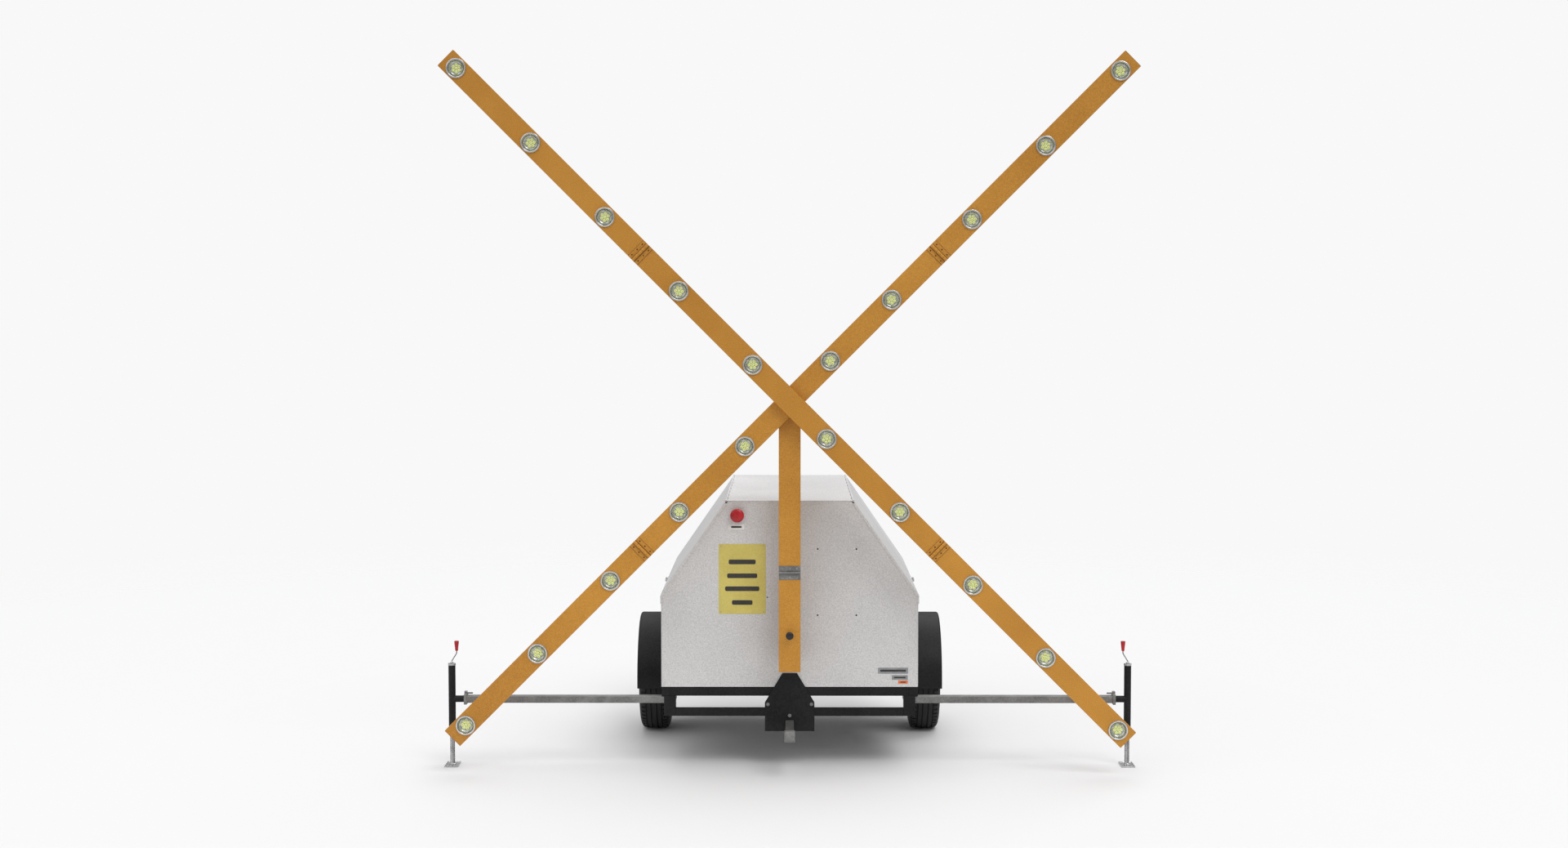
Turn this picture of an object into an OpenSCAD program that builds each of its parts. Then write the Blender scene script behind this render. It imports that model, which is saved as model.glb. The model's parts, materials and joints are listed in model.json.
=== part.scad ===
// Runway closure marker: a folding X of lamps on a mast, carried by a generator trailer.
// Millimetres. The origin is on the ground under the middle of the trailer. +Z is up, +Y runs
// from the drawbar towards the rear, and +X is the right-hand side for a viewer at the front.

/* [Lighted X] */
// Length of each arm of the X, tip to tip
arm_length = 5561; // [4800:1:5800]
// Width of an arm seen from the front
arm_width = 127; // [120:1:140]
// Thickness of an arm from front to back
arm_depth = 45; // [42:1:50]
// Wall of the arm tubes
arm_wall = 3; // [2:0.5:4]
// Height of the centre of the X above the ground
x_height = 2184; // [2150:1:2300]
// Place of the front face of the front arm along Y
x_front = -1041; // [-1060:1:-1035]
// Distance from the centre of the X to each fold hinge
fold_radius = 1212; // [1150:1:1250]

/* [Lamps] */
// Outside diameter of a lamp's bezel
lamp_d = 115; // [105:1:118]
// How far a lamp stands out of its arm
lamp_proud = 9; // [6:1:12]
// Depth of the lamp's can inside the arm
lamp_depth = 34; // [20:1:38]
// Distance from the centre of the X to the first lamp of the front arm
lamp_first = 302; // [280:1:320]
// Distance from lamp to lamp on the front arm
lamp_pitch = 598.5; // [590:0.5:600]

/* [Mast] */
// Width of the mast seen from the front
mast_width = 127; // [110:1:140]
// Depth of the mast from front to back
mast_depth = 100; // [80:1:104]
// Wall of the mast tubes
mast_wall = 5; // [4:0.5:8]
// Height of the mast's lower end
mast_bottom = 600; // [570:1:640]
// Height of the mast's hinge pin
mast_split = 1184; // [1150:1:1220]

/* [Cabinet] */
// Width of the cabinet over its side panels
cabinet_width = 1524; // [1500:1:1540]
// Place of the outside of the front panel along Y
cabinet_front = -743; // [-744:1:-740]
// Place of the rear edge of the roof and the lids along Y
cabinet_rear = 1143; // [1100:1:1160]
// Height of the cabinet's floor line
cabinet_base = 477; // [470:1:480]
// Height of the top of the roof
roof_top = 1586; // [1560:1:1600]
// Half the width of the flat roof
roof_half = 376; // [360:1:390]
// Height of the eaves, where the sloped lids turn down
eave_height = 1021; // [1000:1:1040]
// Thickness of the cabinet's sheet metal
sheet = 3; // [3:0.5:4]

/* [Chassis] */
// Side of the upper frame tubes
rail = 54; // [50:1:56]
// Side of the lower frame tubes
low_tube = 45; // [40:1:46]
// Underside of the lower frame tubes
low_base = 302; // [300:1:305]
// Wall of the frame tubes
frame_wall = 4; // [3:0.5:5]

/* [Drawbar] */
// Side of the sliding drawbar tube
drawbar_side = 50; // [48:1:52]
// Height of the drawbar's centre line
drawbar_height = 255; // [252:1:257]
// Place of the rear end of the drawbar along Y
drawbar_rear = 700; // [600:1:800]
// Side of the end block
block_side = 61; // [58:1:64]
// Length of the end block
block_length = 55; // [50:1:60]
// Radius of the hitch pin's bore
hitch_r = 8; // [6:0.5:10]

/* [Wheels] */
// Outside diameter of the tyres
tyre_d = 690; // [660:1:692]
// Width of the tyres
tyre_width = 192; // [180:1:194]
// Place of the axle line along Y
axle_y = 477; // [460:1:500]
// Distance from the trailer's middle to the middle of a tyre
wheel_x = 864; // [864:1:870]
// Radius of the rim under the tyre's bead
rim_r = 190; // [185:1:195]
// Radius of the stub axles
spindle_r = 25; // [20:1:30]
// Outside radius of the fenders
fender_r = 400; // [398:1:410]

/* [Outriggers and jacks] */
// Distance from the trailer's middle to the outer end of an outrigger tube
outrigger_end = 1920; // [1850:1:1960]
// Height of the outrigger tubes' centre line
outrigger_height = 398; // [397:1:398]
// Distance from the trailer's middle to each jack
jack_x = 2011; // [2000:1:2020]
// Outside radius of the jack tubes
jack_r = 21; // [20:1:24]
// Radius of the sliding legs
leg_r = 14.5; // [13:0.5:16]
// Lower end of the jack tubes
jack_bottom = 190; // [180:1:200]
// Upper end of the jack tubes
jack_top = 600; // [580:1:620]
// Radius of the circle on which a crank's grip runs
crank_throw = 55; // [50:1:60]

/* [Controls] */
// Diameter of the stop button
button_d = 82; // [70:1:86]
// Diameter of the mast's pull knob
knob_d = 46; // [40:1:50]

/* [Hidden] */

$fn = 72;
LEFT = -1;
RIGHT = 1;
fit = 0.05;          // running clearance of a shaft in its bore
slack = 1;           // clearance round a sliding square tube
skin = 0.5;          // overcut that carries a hole right through a wall

// Lighted X
x_back_arm = x_front + arm_depth;
mast_front = x_back_arm + arm_depth;
seam = 1;            // half the gap where an arm or the mast divides
lamp_r = lamp_d / 2;
can_r = lamp_r - 6.5;
// turns about Y that carry +X along each half arm
TO_UPPER_RIGHT = -45;
TO_LOWER_RIGHT = 45;
TO_UPPER_LEFT = -135;
TO_LOWER_LEFT = 135;
// lamp distances from the centre of the X
front_lamps = [for (i = [0 : 4]) lamp_first + i * lamp_pitch];
upper_right_lamps = [332, 830, 1482, 2078, 2680];
lower_left_lamps = [366, 905, 1472, 2074, 2671];
inner_lamps = 2;     // how many of each row sit inside the fold hinge

// hinges: [leaf reach, leaf thickness, pin in front of the face, knuckle radius, pin radius]
arm_hinge = [38, 4, 11, 10, 3.5];
mast_hinge = [40, 4, 9, 8, 4];
knuckles = 5;
knuckle_gap = 0.6;

// Mast
mast_back = mast_front + mast_depth;
mast_top = x_height + 60;
knob_height = 820;
knob_stem_r = 8;
bracket_heights = [700, 1050];

// Cabinet
side_x = cabinet_width / 2;
hinge_z = roof_top - sheet / 2;
lid_clear = 2;       // gap between the lid's eave flange and the side panel
eave_x = side_x + lid_clear + sheet / 2;
lid_reach = norm([eave_x - roof_half, hinge_z - eave_height]);
lid_slope = atan2(hinge_z - eave_height, eave_x - roof_half);
flange_bottom = 973;
lid_front = cabinet_front - 3;
lip_width = 12;
lip_thick = 2;
panel_back = cabinet_front + sheet;
rear_panel_y = cabinet_rear - 10;
panel_inset = 10;    // from the lid's middle surface to the edge of an end panel
lid_knuckle_r = 6;
lid_pin_r = 2.5;
lid_knuckles = 17;
latch_y = 200;
latch_z = 997;
latch_window = 50;
latch_shaft_r = 6;

cabin_floor = cabinet_base + sheet;
skid_top = cabin_floor + 40;

// Chassis
rail_base = cabinet_base - rail;
post_width = 68;
post_depth = 76;
post_outer = 746;
post_inner = post_outer - post_width;
frame_rear = cabinet_rear - 6;
cross_members = [cabinet_front, -195, 290, 640, frame_rear - rail];
low_rear = -150;
weld_gap = 0.4;      // root gap that a weld fills between two frame members
plate_front = cabinet_front - 8;
plate_bottom = 213;
plate_shoulder = 385;
plate_top = 560;
plate_half = 147;
plate_top_half = 43;
plate_stud_z = 306;  // height of the single bolt over the drawbar
bolt_r = 6;
nut_height = 8;
ear_thick = 8;
ear_x = 129;
ear_z = 374;

// Suspension
pivot_y = 327;
pivot_z = 375;
axle_z = tyre_d / 2;
beam_half = 742;
beam_side = 60;
pivot_r = 18;
arm_plate = 24;
spindle_end = 860;

// Outriggers and jacks
jack_y = cabinet_front + post_depth / 2;
outrigger_depth = 60;
outrigger_tall = 40;
end_plate = 17;
swivel_pin_r = 12;
crank_in = 21;       // crank offset towards the trailer
crank_back = sqrt(crank_throw * crank_throw - crank_in * crank_in);
wire_r = 3.3;
screw_r = 5;         // head of the jack's screw, where it passes the cap
foot_thick = 8;

// Controls and signs
button_at = [-310, 1500];
button_stem_r = 12;
collar_height = 12;
bolt_at = [[166, 905], [395, 905], [166, 1299], [395, 1299]];
spare_hole_at = [-132, 1011];

// A box from ranges: slab([x0, x1], [y0, y1], [z0, z1])
module slab(x, y, z) {
    translate([x[0], y[0], z[0]]) cube([x[1] - x[0], y[1] - y[0], z[1] - z[0]]);
}

// A cylinder along X, Y or Z between two places on that axis
module rod_x(r, x, y, z) {
    translate([x[0], y, z]) rotate([0, 90, 0]) cylinder(r = r, h = x[1] - x[0]);
}

module rod_y(r, x, y, z) {
    translate([x, y[0], z]) rotate([-90, 0, 0]) cylinder(r = r, h = y[1] - y[0]);
}

module rod_z(r, x, y, z) {
    translate([x, y, z[0]]) cylinder(r = r, h = z[1] - z[0]);
}

// A straight round bar between any two points
module bar(a, b, r) {
    d = b - a;
    translate(a) rotate([0, acos(d[2] / norm(d)), atan2(d[1], d[0])])
        cylinder(r = r, h = norm(d));
}

// The right-hand version, or its mirror image on the left
module sided(side) {
    if (side == LEFT) mirror([1, 0, 0]) children();
    else children();
}

module both_sides() {
    sided(LEFT) children();
    sided(RIGHT) children();
}

// Square tubes, open at both ends
module tube_x(x, y, z, wall) {
    difference() {
        slab(x, y, z);
        slab([x[0] - skin, x[1] + skin], [y[0] + wall, y[1] - wall],
             [z[0] + wall, z[1] - wall]);
    }
}

module tube_y(x, y, z, wall) {
    difference() {
        slab(x, y, z);
        slab([x[0] + wall, x[1] - wall], [y[0] - skin, y[1] + skin],
             [z[0] + wall, z[1] - wall]);
    }
}

module tube_z(x, y, z, wall) {
    difference() {
        slab(x, y, z);
        slab([x[0] + wall, x[1] - wall], [y[0] + wall, y[1] - wall],
             [z[0] - skin, z[1] + skin]);
    }
}

// One leaf of a butt hinge. The pin runs along Z through the origin, the mounting face is
// behind it at +Y, and the leaf lies on the side given, with every second knuckle.
module hinge_leaf(side, hinge, width, first) {
    reach = hinge[0];
    face = hinge[2];
    clear = hinge[3] + 1;
    pitch = width / knuckles;
    module strip(from, to, low, high) {
        slab(side == RIGHT ? [from, to] : [-to, -from], [face - hinge[1], face],
             [low, high]);
    }
    difference() {
        union() {
            strip(clear, reach, -width / 2, width / 2);
            for (i = [first : 2 : knuckles - 1]) {
                low = -width / 2 + i * pitch + knuckle_gap / 2;
                rod_z(hinge[3], 0, 0, [low, low + pitch - knuckle_gap]);
                strip(0, clear, low, low + pitch - knuckle_gap);
            }
        }
        rod_z(hinge[4] + fit, 0, 0, [-width, width]);
    }
}

module hinge_pin(hinge, width) {
    rod_z(hinge[4], 0, 0, [-width / 2, width / 2]);
}

// ---- the X -------------------------------------------------------------------------------

// Places a half arm: local X runs outwards along it, local Z across it
module on_arm(turn) {
    translate([0, 0, x_height]) rotate([0, turn, 0]) children();
}

module arm_tube(reach, face, lamps) {
    half = arm_width / 2;
    difference() {
        slab(reach, [face, face + arm_depth], [-half, half]);
        slab([reach[0] + arm_wall, reach[1] - arm_wall],
             [face + arm_wall, face + arm_depth - arm_wall],
             [-half + arm_wall, half - arm_wall]);
        for (r = lamps)
            rod_y(can_r + skin, r, [face - skin, face + arm_wall + skin], 0);
    }
}

module inner_arm(turn, face, lamps) {
    reach = fold_radius - seam;
    on_arm(turn) arm_tube([-reach, reach], face, lamps);
}

module outer_arm(turn, face, lamps) {
    on_arm(turn) {
        arm_tube([fold_radius + seam, arm_length / 2], face, lamps);
        translate([fold_radius, face - arm_hinge[2], 0])
            hinge_leaf(RIGHT, arm_hinge, arm_width, 1);
    }
}

// A sealed lamp: can, rolled bezel and a slightly domed lens
module lamp() {
    rotate([90, 0, 0]) rotate_extrude() polygon([
        [0, -lamp_depth], [can_r * 0.6, -lamp_depth], [can_r, -lamp_depth / 3], [can_r, 0],
        [lamp_r, 0], [lamp_r, lamp_proud - 3], [lamp_r - 3, lamp_proud],
        [lamp_r - 9, lamp_proud], [lamp_r - 11, lamp_proud - 3], [0, lamp_proud - 1]
    ]);
}

module lamp_row(turn, face, places) {
    color("gainsboro") on_arm(turn) for (r = places) translate([r, face, 0]) lamp();
}

function inside(row) = [for (i = [0 : inner_lamps - 1]) row[i]];
function outside(row) = [for (i = [inner_lamps : len(row) - 1]) row[i]];
function opposite(row) = [for (r = row) -r];

module arm_front_inner() {
    color("orange") inner_arm(TO_LOWER_RIGHT, x_front,
        concat(inside(front_lamps), opposite(inside(front_lamps))));
}

module arm_back_inner() {
    color("orange") inner_arm(TO_UPPER_RIGHT, x_back_arm,
        concat(inside(upper_right_lamps), opposite(inside(lower_left_lamps))));
}

module arm_upper_left() {
    color("orange") outer_arm(TO_UPPER_LEFT, x_front, outside(front_lamps));
}

module arm_lower_right() {
    color("orange") outer_arm(TO_LOWER_RIGHT, x_front, outside(front_lamps));
}

module arm_upper_right() {
    color("orange") outer_arm(TO_UPPER_RIGHT, x_back_arm, outside(upper_right_lamps));
}

module arm_lower_left() {
    color("orange") outer_arm(TO_LOWER_LEFT, x_back_arm, outside(lower_left_lamps));
}

// The inner leaves and the pins of the four fold hinges
module arm_fold_hinges() {
    places = [[TO_UPPER_LEFT, x_front], [TO_LOWER_RIGHT, x_front],
              [TO_UPPER_RIGHT, x_back_arm], [TO_LOWER_LEFT, x_back_arm]];
    color("orange") for (p = places)
        on_arm(p[0]) translate([fold_radius, p[1] - arm_hinge[2], 0]) {
            hinge_leaf(LEFT, arm_hinge, arm_width, 0);
            hinge_pin(arm_hinge, arm_width);
        }
}

module lamps_inner() {
    lamp_row(TO_UPPER_LEFT, x_front, inside(front_lamps));
    lamp_row(TO_LOWER_RIGHT, x_front, inside(front_lamps));
    lamp_row(TO_UPPER_RIGHT, x_back_arm, inside(upper_right_lamps));
    lamp_row(TO_LOWER_LEFT, x_back_arm, inside(lower_left_lamps));
}

module lamps_upper_left() {
    lamp_row(TO_UPPER_LEFT, x_front, outside(front_lamps));
}

module lamps_upper_right() {
    lamp_row(TO_UPPER_RIGHT, x_back_arm, outside(upper_right_lamps));
}

module lamps_lower_left() {
    lamp_row(TO_LOWER_LEFT, x_back_arm, outside(lower_left_lamps));
}

module lamps_lower_right() {
    lamp_row(TO_LOWER_RIGHT, x_front, outside(front_lamps));
}

// ---- the mast ----------------------------------------------------------------------------

module mast_tube(z) {
    half = mast_width / 2;
    difference() {
        slab([-half, half], [mast_front, mast_back], z);
        slab([-half + mast_wall, half - mast_wall],
             [mast_front + mast_wall, mast_back - mast_wall],
             [z[0] + mast_wall, z[1] - mast_wall]);
    }
}

module upper_mast() {
    color("orange") mast_tube([mast_split + seam, mast_top]);
}

// The lower mast carries the ferrule that guides the pull knob
module lower_mast() {
    color("orange") difference() {
        union() {
            mast_tube([mast_bottom, mast_split - seam]);
            rod_y(knob_stem_r + 6, 0, [mast_front - 12, mast_front], knob_height);
        }
        rod_y(knob_stem_r + fit, 0, [mast_front - 20, mast_front + mast_wall + skin],
              knob_height);
    }
}

module on_mast_pin() {
    translate([0, mast_front - mast_hinge[2], mast_split]) rotate([0, 90, 0]) children();
}

module mast_lower_leaf() {
    color("silver") on_mast_pin() {
        hinge_leaf(RIGHT, mast_hinge, mast_width, 0);
        hinge_pin(mast_hinge, mast_width);
    }
}

module mast_upper_leaf() {
    color("silver") on_mast_pin() hinge_leaf(LEFT, mast_hinge, mast_width, 1);
}

module mast_knob() {
    color("black") translate([0, mast_front, knob_height]) rotate([90, 0, 0]) {
        translate([0, 0, -36]) cylinder(r = knob_stem_r, h = 70);
        // the head, from its back to its front
        rotate_extrude() polygon([
            [0, 30], [knob_stem_r + 3, 30], [knob_d / 2 - 5, 34], [knob_d / 2, 39],
            [knob_d / 2, 47], [knob_d / 2 - 4, 51], [0, 53]
        ]);
    }
}

// Stubs that tie the lower mast to the post behind the front panel
module mast_brackets() {
    color("orange") for (z = bracket_heights)
        tube_y([-45, 45], [mast_back, cabinet_front], [z - 30, z + 30], 6);
    color("dimgray") tube_z([-30, 30], [panel_back, panel_back + 60],
        [cabinet_base + sheet, 1100], 4);
}

// ---- the cabinet -------------------------------------------------------------------------

// Outline of an end panel, just inside the sloped lids
module end_outline() {
    top = roof_top - sheet;
    run = cos(lid_slope) / sin(lid_slope);
    middle = roof_half + (hinge_z - top) * run;
    half_top = middle - panel_inset / sin(lid_slope);
    side = side_x - sheet;
    shoulder = top - (side - half_top) / run;
    polygon([[-side, cabinet_base], [side, cabinet_base], [side, shoulder],
             [half_top, top], [-half_top, top], [-side, shoulder]]);
}

module end_panel(y) {
    translate([0, y + sheet, 0]) rotate([90, 0, 0]) linear_extrude(sheet) end_outline();
}

module front_panel() {
    through = [cabinet_front - skin, panel_back + skin];
    color("lightgray") difference() {
        end_panel(cabinet_front);
        for (p = bolt_at) rod_y(5, p[0], through, p[1]);
        rod_y(4, spare_hole_at[0], through, spare_hole_at[1]);
        rod_y(15, button_at[0], through, button_at[1]);
    }
}

// The rear panel has two columns of cooling slots
module rear_panel() {
    color("lightgray") difference() {
        end_panel(rear_panel_y);
        for (x = [-360, 160], z = [620 : 40 : 900])
            slab([x, x + 200], [rear_panel_y - skin, rear_panel_y + sheet + skin],
                 [z, z + 12]);
    }
}

// Side panels stand behind the lids' flanges, with a window for each latch's cam
module side_panels() {
    top = eave_height + 1;
    color("lightgray") both_sides() difference() {
        slab([side_x - sheet, side_x], [panel_back, rear_panel_y], [cabinet_base, top]);
        slab([side_x - sheet - skin, side_x + skin],
             [latch_y - latch_window, latch_y + latch_window], [950, top + skin]);
    }
}

module cabinet_floor() {
    edge = side_x - sheet;
    color("lightgray") slab([-edge, edge], [panel_back, rear_panel_y],
                            [cabinet_base, cabinet_base + sheet]);
}

// Knuckles of a lid's long hinge, with the strip that joins them to their sheet. The pin
// runs along Y through the origin and the sheet lies towards +X.
module lid_knuckle_row(first) {
    pitch = (cabinet_rear - lid_front) / lid_knuckles;
    for (i = [first : 2 : lid_knuckles - 1]) {
        from = lid_front + i * pitch + 0.5;
        rod_y(lid_knuckle_r, 0, [from, from + pitch - 1], 0);
        slab([0, lid_knuckle_r + 2], [from, from + pitch - 1], [-sheet / 2, sheet / 2]);
    }
}

module lid_pin_bore() {
    rod_y(lid_pin_r + fit, 0, [lid_front - 1, cabinet_rear + 1], 0);
}

module roof_panel() {
    edge = roof_half - lid_knuckle_r - 2;
    color("whitesmoke") {
        difference() {
            union() {
                slab([-edge, edge], [lid_front, cabinet_rear],
                     [roof_top - sheet, roof_top]);
                both_sides() translate([roof_half, 0, hinge_z])
                    mirror([1, 0, 0]) lid_knuckle_row(0);
            }
            both_sides() translate([roof_half, 0, hinge_z]) lid_pin_bore();
        }
    }
}

module lid_hinge_pins() {
    color("silver") both_sides()
        rod_y(lid_pin_r, roof_half, [lid_front, cabinet_rear], hinge_z);
}

// A sloped lid: skin, long hinge and eave flange, bored for its latch, with a narrow lip
// turned down in front of each end panel
module lid(side) {
    outer = eave_x + sheet / 2;
    lips = [lid_front, cabinet_rear - lip_thick];
    color("lightgray") sided(side) difference() {
        union() {
            translate([roof_half, 0, hinge_z]) rotate([0, lid_slope, 0]) {
                slab([lid_knuckle_r + 2, lid_reach], [lid_front, cabinet_rear],
                     [-sheet / 2, sheet / 2]);
                lid_knuckle_row(1);
                for (y = lips)
                    slab([lid_knuckle_r + 6, lid_reach], [y, y + lip_thick],
                         [-lip_width, 0]);
            }
            slab([eave_x - sheet / 2, outer], [lid_front, cabinet_rear],
                 [flange_bottom, eave_height]);
            for (y = lips)
                slab([outer - lip_width, outer], [y, y + lip_thick],
                     [flange_bottom, eave_height]);
        }
        translate([roof_half, 0, hinge_z]) lid_pin_bore();
        rod_x(latch_shaft_r + fit, [eave_x - sheet, eave_x + sheet], latch_y, latch_z);
    }
}

// A quarter-turn latch: rose, shaft, T handle outside and cam inside
module lid_latch(side) {
    face = eave_x + sheet / 2;
    color("dimgray") sided(side) {
        rod_x(latch_shaft_r, [eave_x - 16, face + 20], latch_y, latch_z);
        // rose
        rod_x(20, [face, face + 4], latch_y, latch_z);
        // T handle
        slab([face + 10, face + 22], [latch_y - 42, latch_y + 42],
             [latch_z - 8, latch_z + 8]);
        // cam, which hangs behind the side panel's window
        slab([eave_x - 20, eave_x - 15], [latch_y - 9, latch_y + 9],
             [latch_z - 36, latch_z + 9]);
    }
}

module lid_left() { lid(LEFT); }
module lid_right() { lid(RIGHT); }
module lid_latch_left() { lid_latch(LEFT); }
module lid_latch_right() { lid_latch(RIGHT); }

module stop_collar() {
    color("black") translate([button_at[0], cabinet_front, button_at[1]])
        rotate([90, 0, 0]) difference() {
            cylinder(r1 = 33, r2 = 29, h = collar_height);
            translate([0, 0, -skin]) cylinder(r = button_stem_r + fit,
                                              h = collar_height + 2 * skin);
        }
}

module stop_button() {
    r = button_d / 2;
    color("crimson") translate([button_at[0], cabinet_front, button_at[1]])
        rotate([90, 0, 0]) {
            translate([0, 0, -24]) cylinder(r = button_stem_r, h = 50);
            // the mushroom head, from its underside to its crown
            rotate_extrude() polygon([
                [0, 22], [r * 0.7, 22], [r * 0.94, 25], [r, 30], [r * 0.95, 36],
                [r * 0.78, 41], [r * 0.45, 44], [0, 45]
            ]);
        }
}

module sign_plate() {
    color("khaki") slab([-420, -142], [cabinet_front - 1.5, cabinet_front], [913, 1329]);
}

// ---- inside the cabinet ------------------------------------------------------------------

// A small diesel on its skid rails
module engine() {
    block_z = [600, 800];
    manifold_z = 840;
    color("darkslategray") {
        // skid rails
        both_sides() slab([120, 160], [-260, 620], [cabin_floor, skid_top]);
        // sump and feet
        slab([-100, 100], [180, 540], [skid_top, block_z[0]]);
        both_sides() slab([100, 150], [200, 260], [skid_top, block_z[0] + 20]);
        // block, cylinder head and rocker cover
        slab([-130, 130], [160, 560], block_z);
        slab([-80, 80], [190, 530], [block_z[1], 880]);
        slab([-60, 60], [210, 510], [880, 915]);
        // fan shroud
        rod_y(190, 0, [560, 620], 711);
        // exhaust manifold, air filter and its duct
        rod_y(24, 104, [200, 520], manifold_z);
        rod_y(70, -190, [220, 460], manifold_z);
        rod_x(24, [-190, -70], 340, manifold_z);
    }
}

module alternator() {
    shaft_z = 690;
    color("steelblue") {
        // stator housing, flange to the engine, and end bell
        rod_y(150, 0, [-240, 140], shaft_z);
        rod_y(165, 0, [140, 160], shaft_z);
        rod_y(110, 0, [-270, -240], shaft_z);
        // feet on the skid rails
        both_sides() for (y = [-200, 60])
            slab([90, 158], [y, y + 60], [skid_top, shaft_z - 50]);
    }
}

module fuel_tank() {
    tank_top = 760;
    color("dimgray") {
        slab([-700, -430], [-450, 350], [cabin_floor, tank_top]);
        // filler neck and cap
        rod_z(30, -565, -350, [tank_top, tank_top + 30]);
        rod_z(38, -565, -350, [tank_top + 30, tank_top + 46]);
    }
}

module batteries() {
    case_top = 680;
    color("black") for (y = [-420, -230]) {
        slab([480, 690], [y, y + 170], [cabin_floor, case_top]);
        // terminals
        for (x = [520, 650]) rod_z(9, x, y + 40, [case_top, case_top + 18]);
    }
}

module control_box() {
    color("gray") {
        // box, and its cover 10 mm smaller all round
        slab([604, side_x - sheet], [-700, -480], [560, 920]);
        slab([598, 604], [-690, -490], [570, 910]);
    }
}

// ---- the chassis -------------------------------------------------------------------------

// A front corner post, with the window that its outrigger slides through
module frame_post() {
    window_y = outrigger_depth / 2 + slack;
    window_z = outrigger_tall / 2 + slack;
    difference() {
        slab([post_inner, post_outer], [cabinet_front, cabinet_front + post_depth],
             [low_base, rail_base - weld_gap]);
        slab([post_inner - skin, post_outer + skin], [jack_y - window_y, jack_y + window_y],
             [outrigger_height - window_z, outrigger_height + window_z]);
    }
}

// Frame members stand a weld's root gap apart, so each one stays a solid of its own
module chassis_frame() {
    w = frame_wall;
    g = weld_gap;
    low_top = low_base + low_tube;
    low_x = [post_outer - low_tube, post_outer];
    cross_x = side_x - rail - g;
    low_cross_x = post_inner - g;
    color("black") {
        both_sides() {
            tube_y([side_x - rail, side_x], [cabinet_front, frame_rear],
                   [rail_base, cabinet_base], w);
            frame_post();
            tube_y(low_x, [cabinet_front + post_depth + g, low_rear], [low_base, low_top], w);
            tube_z(low_x, [low_rear - low_tube, low_rear], [low_top + g, rail_base - g], w);
        }
        for (y = cross_members)
            tube_x([-cross_x, cross_x], [y, y + rail], [rail_base, cabinet_base], w);
        tube_x([-low_cross_x, low_cross_x], [cabinet_front, cabinet_front + low_tube],
               [low_base, low_top], w);
    }
}

// The sleeve that the drawbar slides in, with its hangers
module drawbar_sleeve() {
    half = drawbar_side / 2 + slack;
    outer = half + 6;
    z = [drawbar_height - outer, drawbar_height + outer];
    color("black") {
        difference() {
            slab([-outer, outer], [cabinet_front, low_rear], z);
            slab([-half, half], [cabinet_front - skin, low_rear + skin],
                 [drawbar_height - half, drawbar_height + half]);
        }
        slab([-outer, outer], [cabinet_front, cabinet_front + low_tube],
             [z[1], low_base]);
        slab([-40, 40], [low_rear - low_tube, low_rear - low_tube + 12],
             [z[1], rail_base]);
    }
}

module front_plate() {
    slot = drawbar_side / 2 + slack;
    color("black") difference() {
        translate([0, cabinet_front, 0]) rotate([90, 0, 0])
            linear_extrude(cabinet_front - plate_front) polygon([
                [-plate_half, plate_bottom], [plate_half, plate_bottom],
                [plate_half, plate_shoulder], [plate_top_half, plate_top],
                [-plate_top_half, plate_top],
                [-plate_half, plate_shoulder]
            ]);
        slab([-slot, slot], [plate_front - skin, cabinet_front + skin],
             [drawbar_height - slot, drawbar_height + slot]);
        for (x = [-ear_x, ear_x])
            rod_y(bolt_r, x, [plate_front - skin, cabinet_front + skin], ear_z);
    }
    color("black") for (x = [-ear_x, ear_x]) difference() {
        slab([x - 14, x + 14], [cabinet_front, cabinet_front + ear_thick],
             [low_base + low_tube, low_base + low_tube + 45]);
        rod_y(bolt_r, x, [cabinet_front - skin, cabinet_front + ear_thick + skin], ear_z);
    }
}

// A round-headed bolt whose shank runs towards +Y
module bolt(x, z, shank) {
    color("silver") translate([x, plate_front, z]) {
        rotate([90, 0, 0]) cylinder(r1 = 12, r2 = 8, h = 7);
        if (shank > 0) rotate([-90, 0, 0]) cylinder(r = bolt_r, h = shank);
    }
}

module plate_bolts() {
    for (x = [-ear_x, ear_x]) {
        bolt(x, ear_z, 26);
        color("silver") translate([x, cabinet_front + ear_thick, ear_z]) rotate([-90, 0, 0])
            difference() {
                cylinder(r = 10, h = nut_height, $fn = 6);
                translate([0, 0, -skin]) cylinder(r = bolt_r, h = nut_height + 2 * skin);
            }
    }
    bolt(0, plate_stud_z, 0);
}

// Two open pockets under the rear of the frame that take a fork truck's tines
module fork_pockets() {
    color("black") both_sides()
        tube_y([205, 395], [640, frame_rear], [rail_base - 80, rail_base], 6);
}

module drawbar() {
    half = drawbar_side / 2;
    block_half = block_side / 2;
    front = -cabinet_rear;
    block_back = front + block_length;
    color("silver") {
        tube_y([-half, half], [block_back, drawbar_rear],
               [drawbar_height - half, drawbar_height + half], 5);
        difference() {
            slab([-block_half, block_half], [front, block_back],
                 [drawbar_height - block_half, drawbar_height + block_half]);
            rod_x(hitch_r, [-block_half - skin, block_half + skin], front + 24,
                  drawbar_height);
        }
    }
}

// ---- wheels and suspension ---------------------------------------------------------------

module axle_beam() {
    half = beam_side / 2;
    color("black") {
        difference() {
            slab([-beam_half, beam_half], [pivot_y - half, pivot_y + half],
                 [pivot_z - half, pivot_z + half]);
            both_sides() rod_x(pivot_r + fit, [beam_half - 121, beam_half + skin],
                               pivot_y, pivot_z);
        }
        // pads that carry the beam under the rails
        both_sides() slab([side_x - rail - 60, side_x - 20],
                          [pivot_y - half - 10, pivot_y + half + 10],
                          [pivot_z + half, rail_base]);
    }
}

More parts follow.
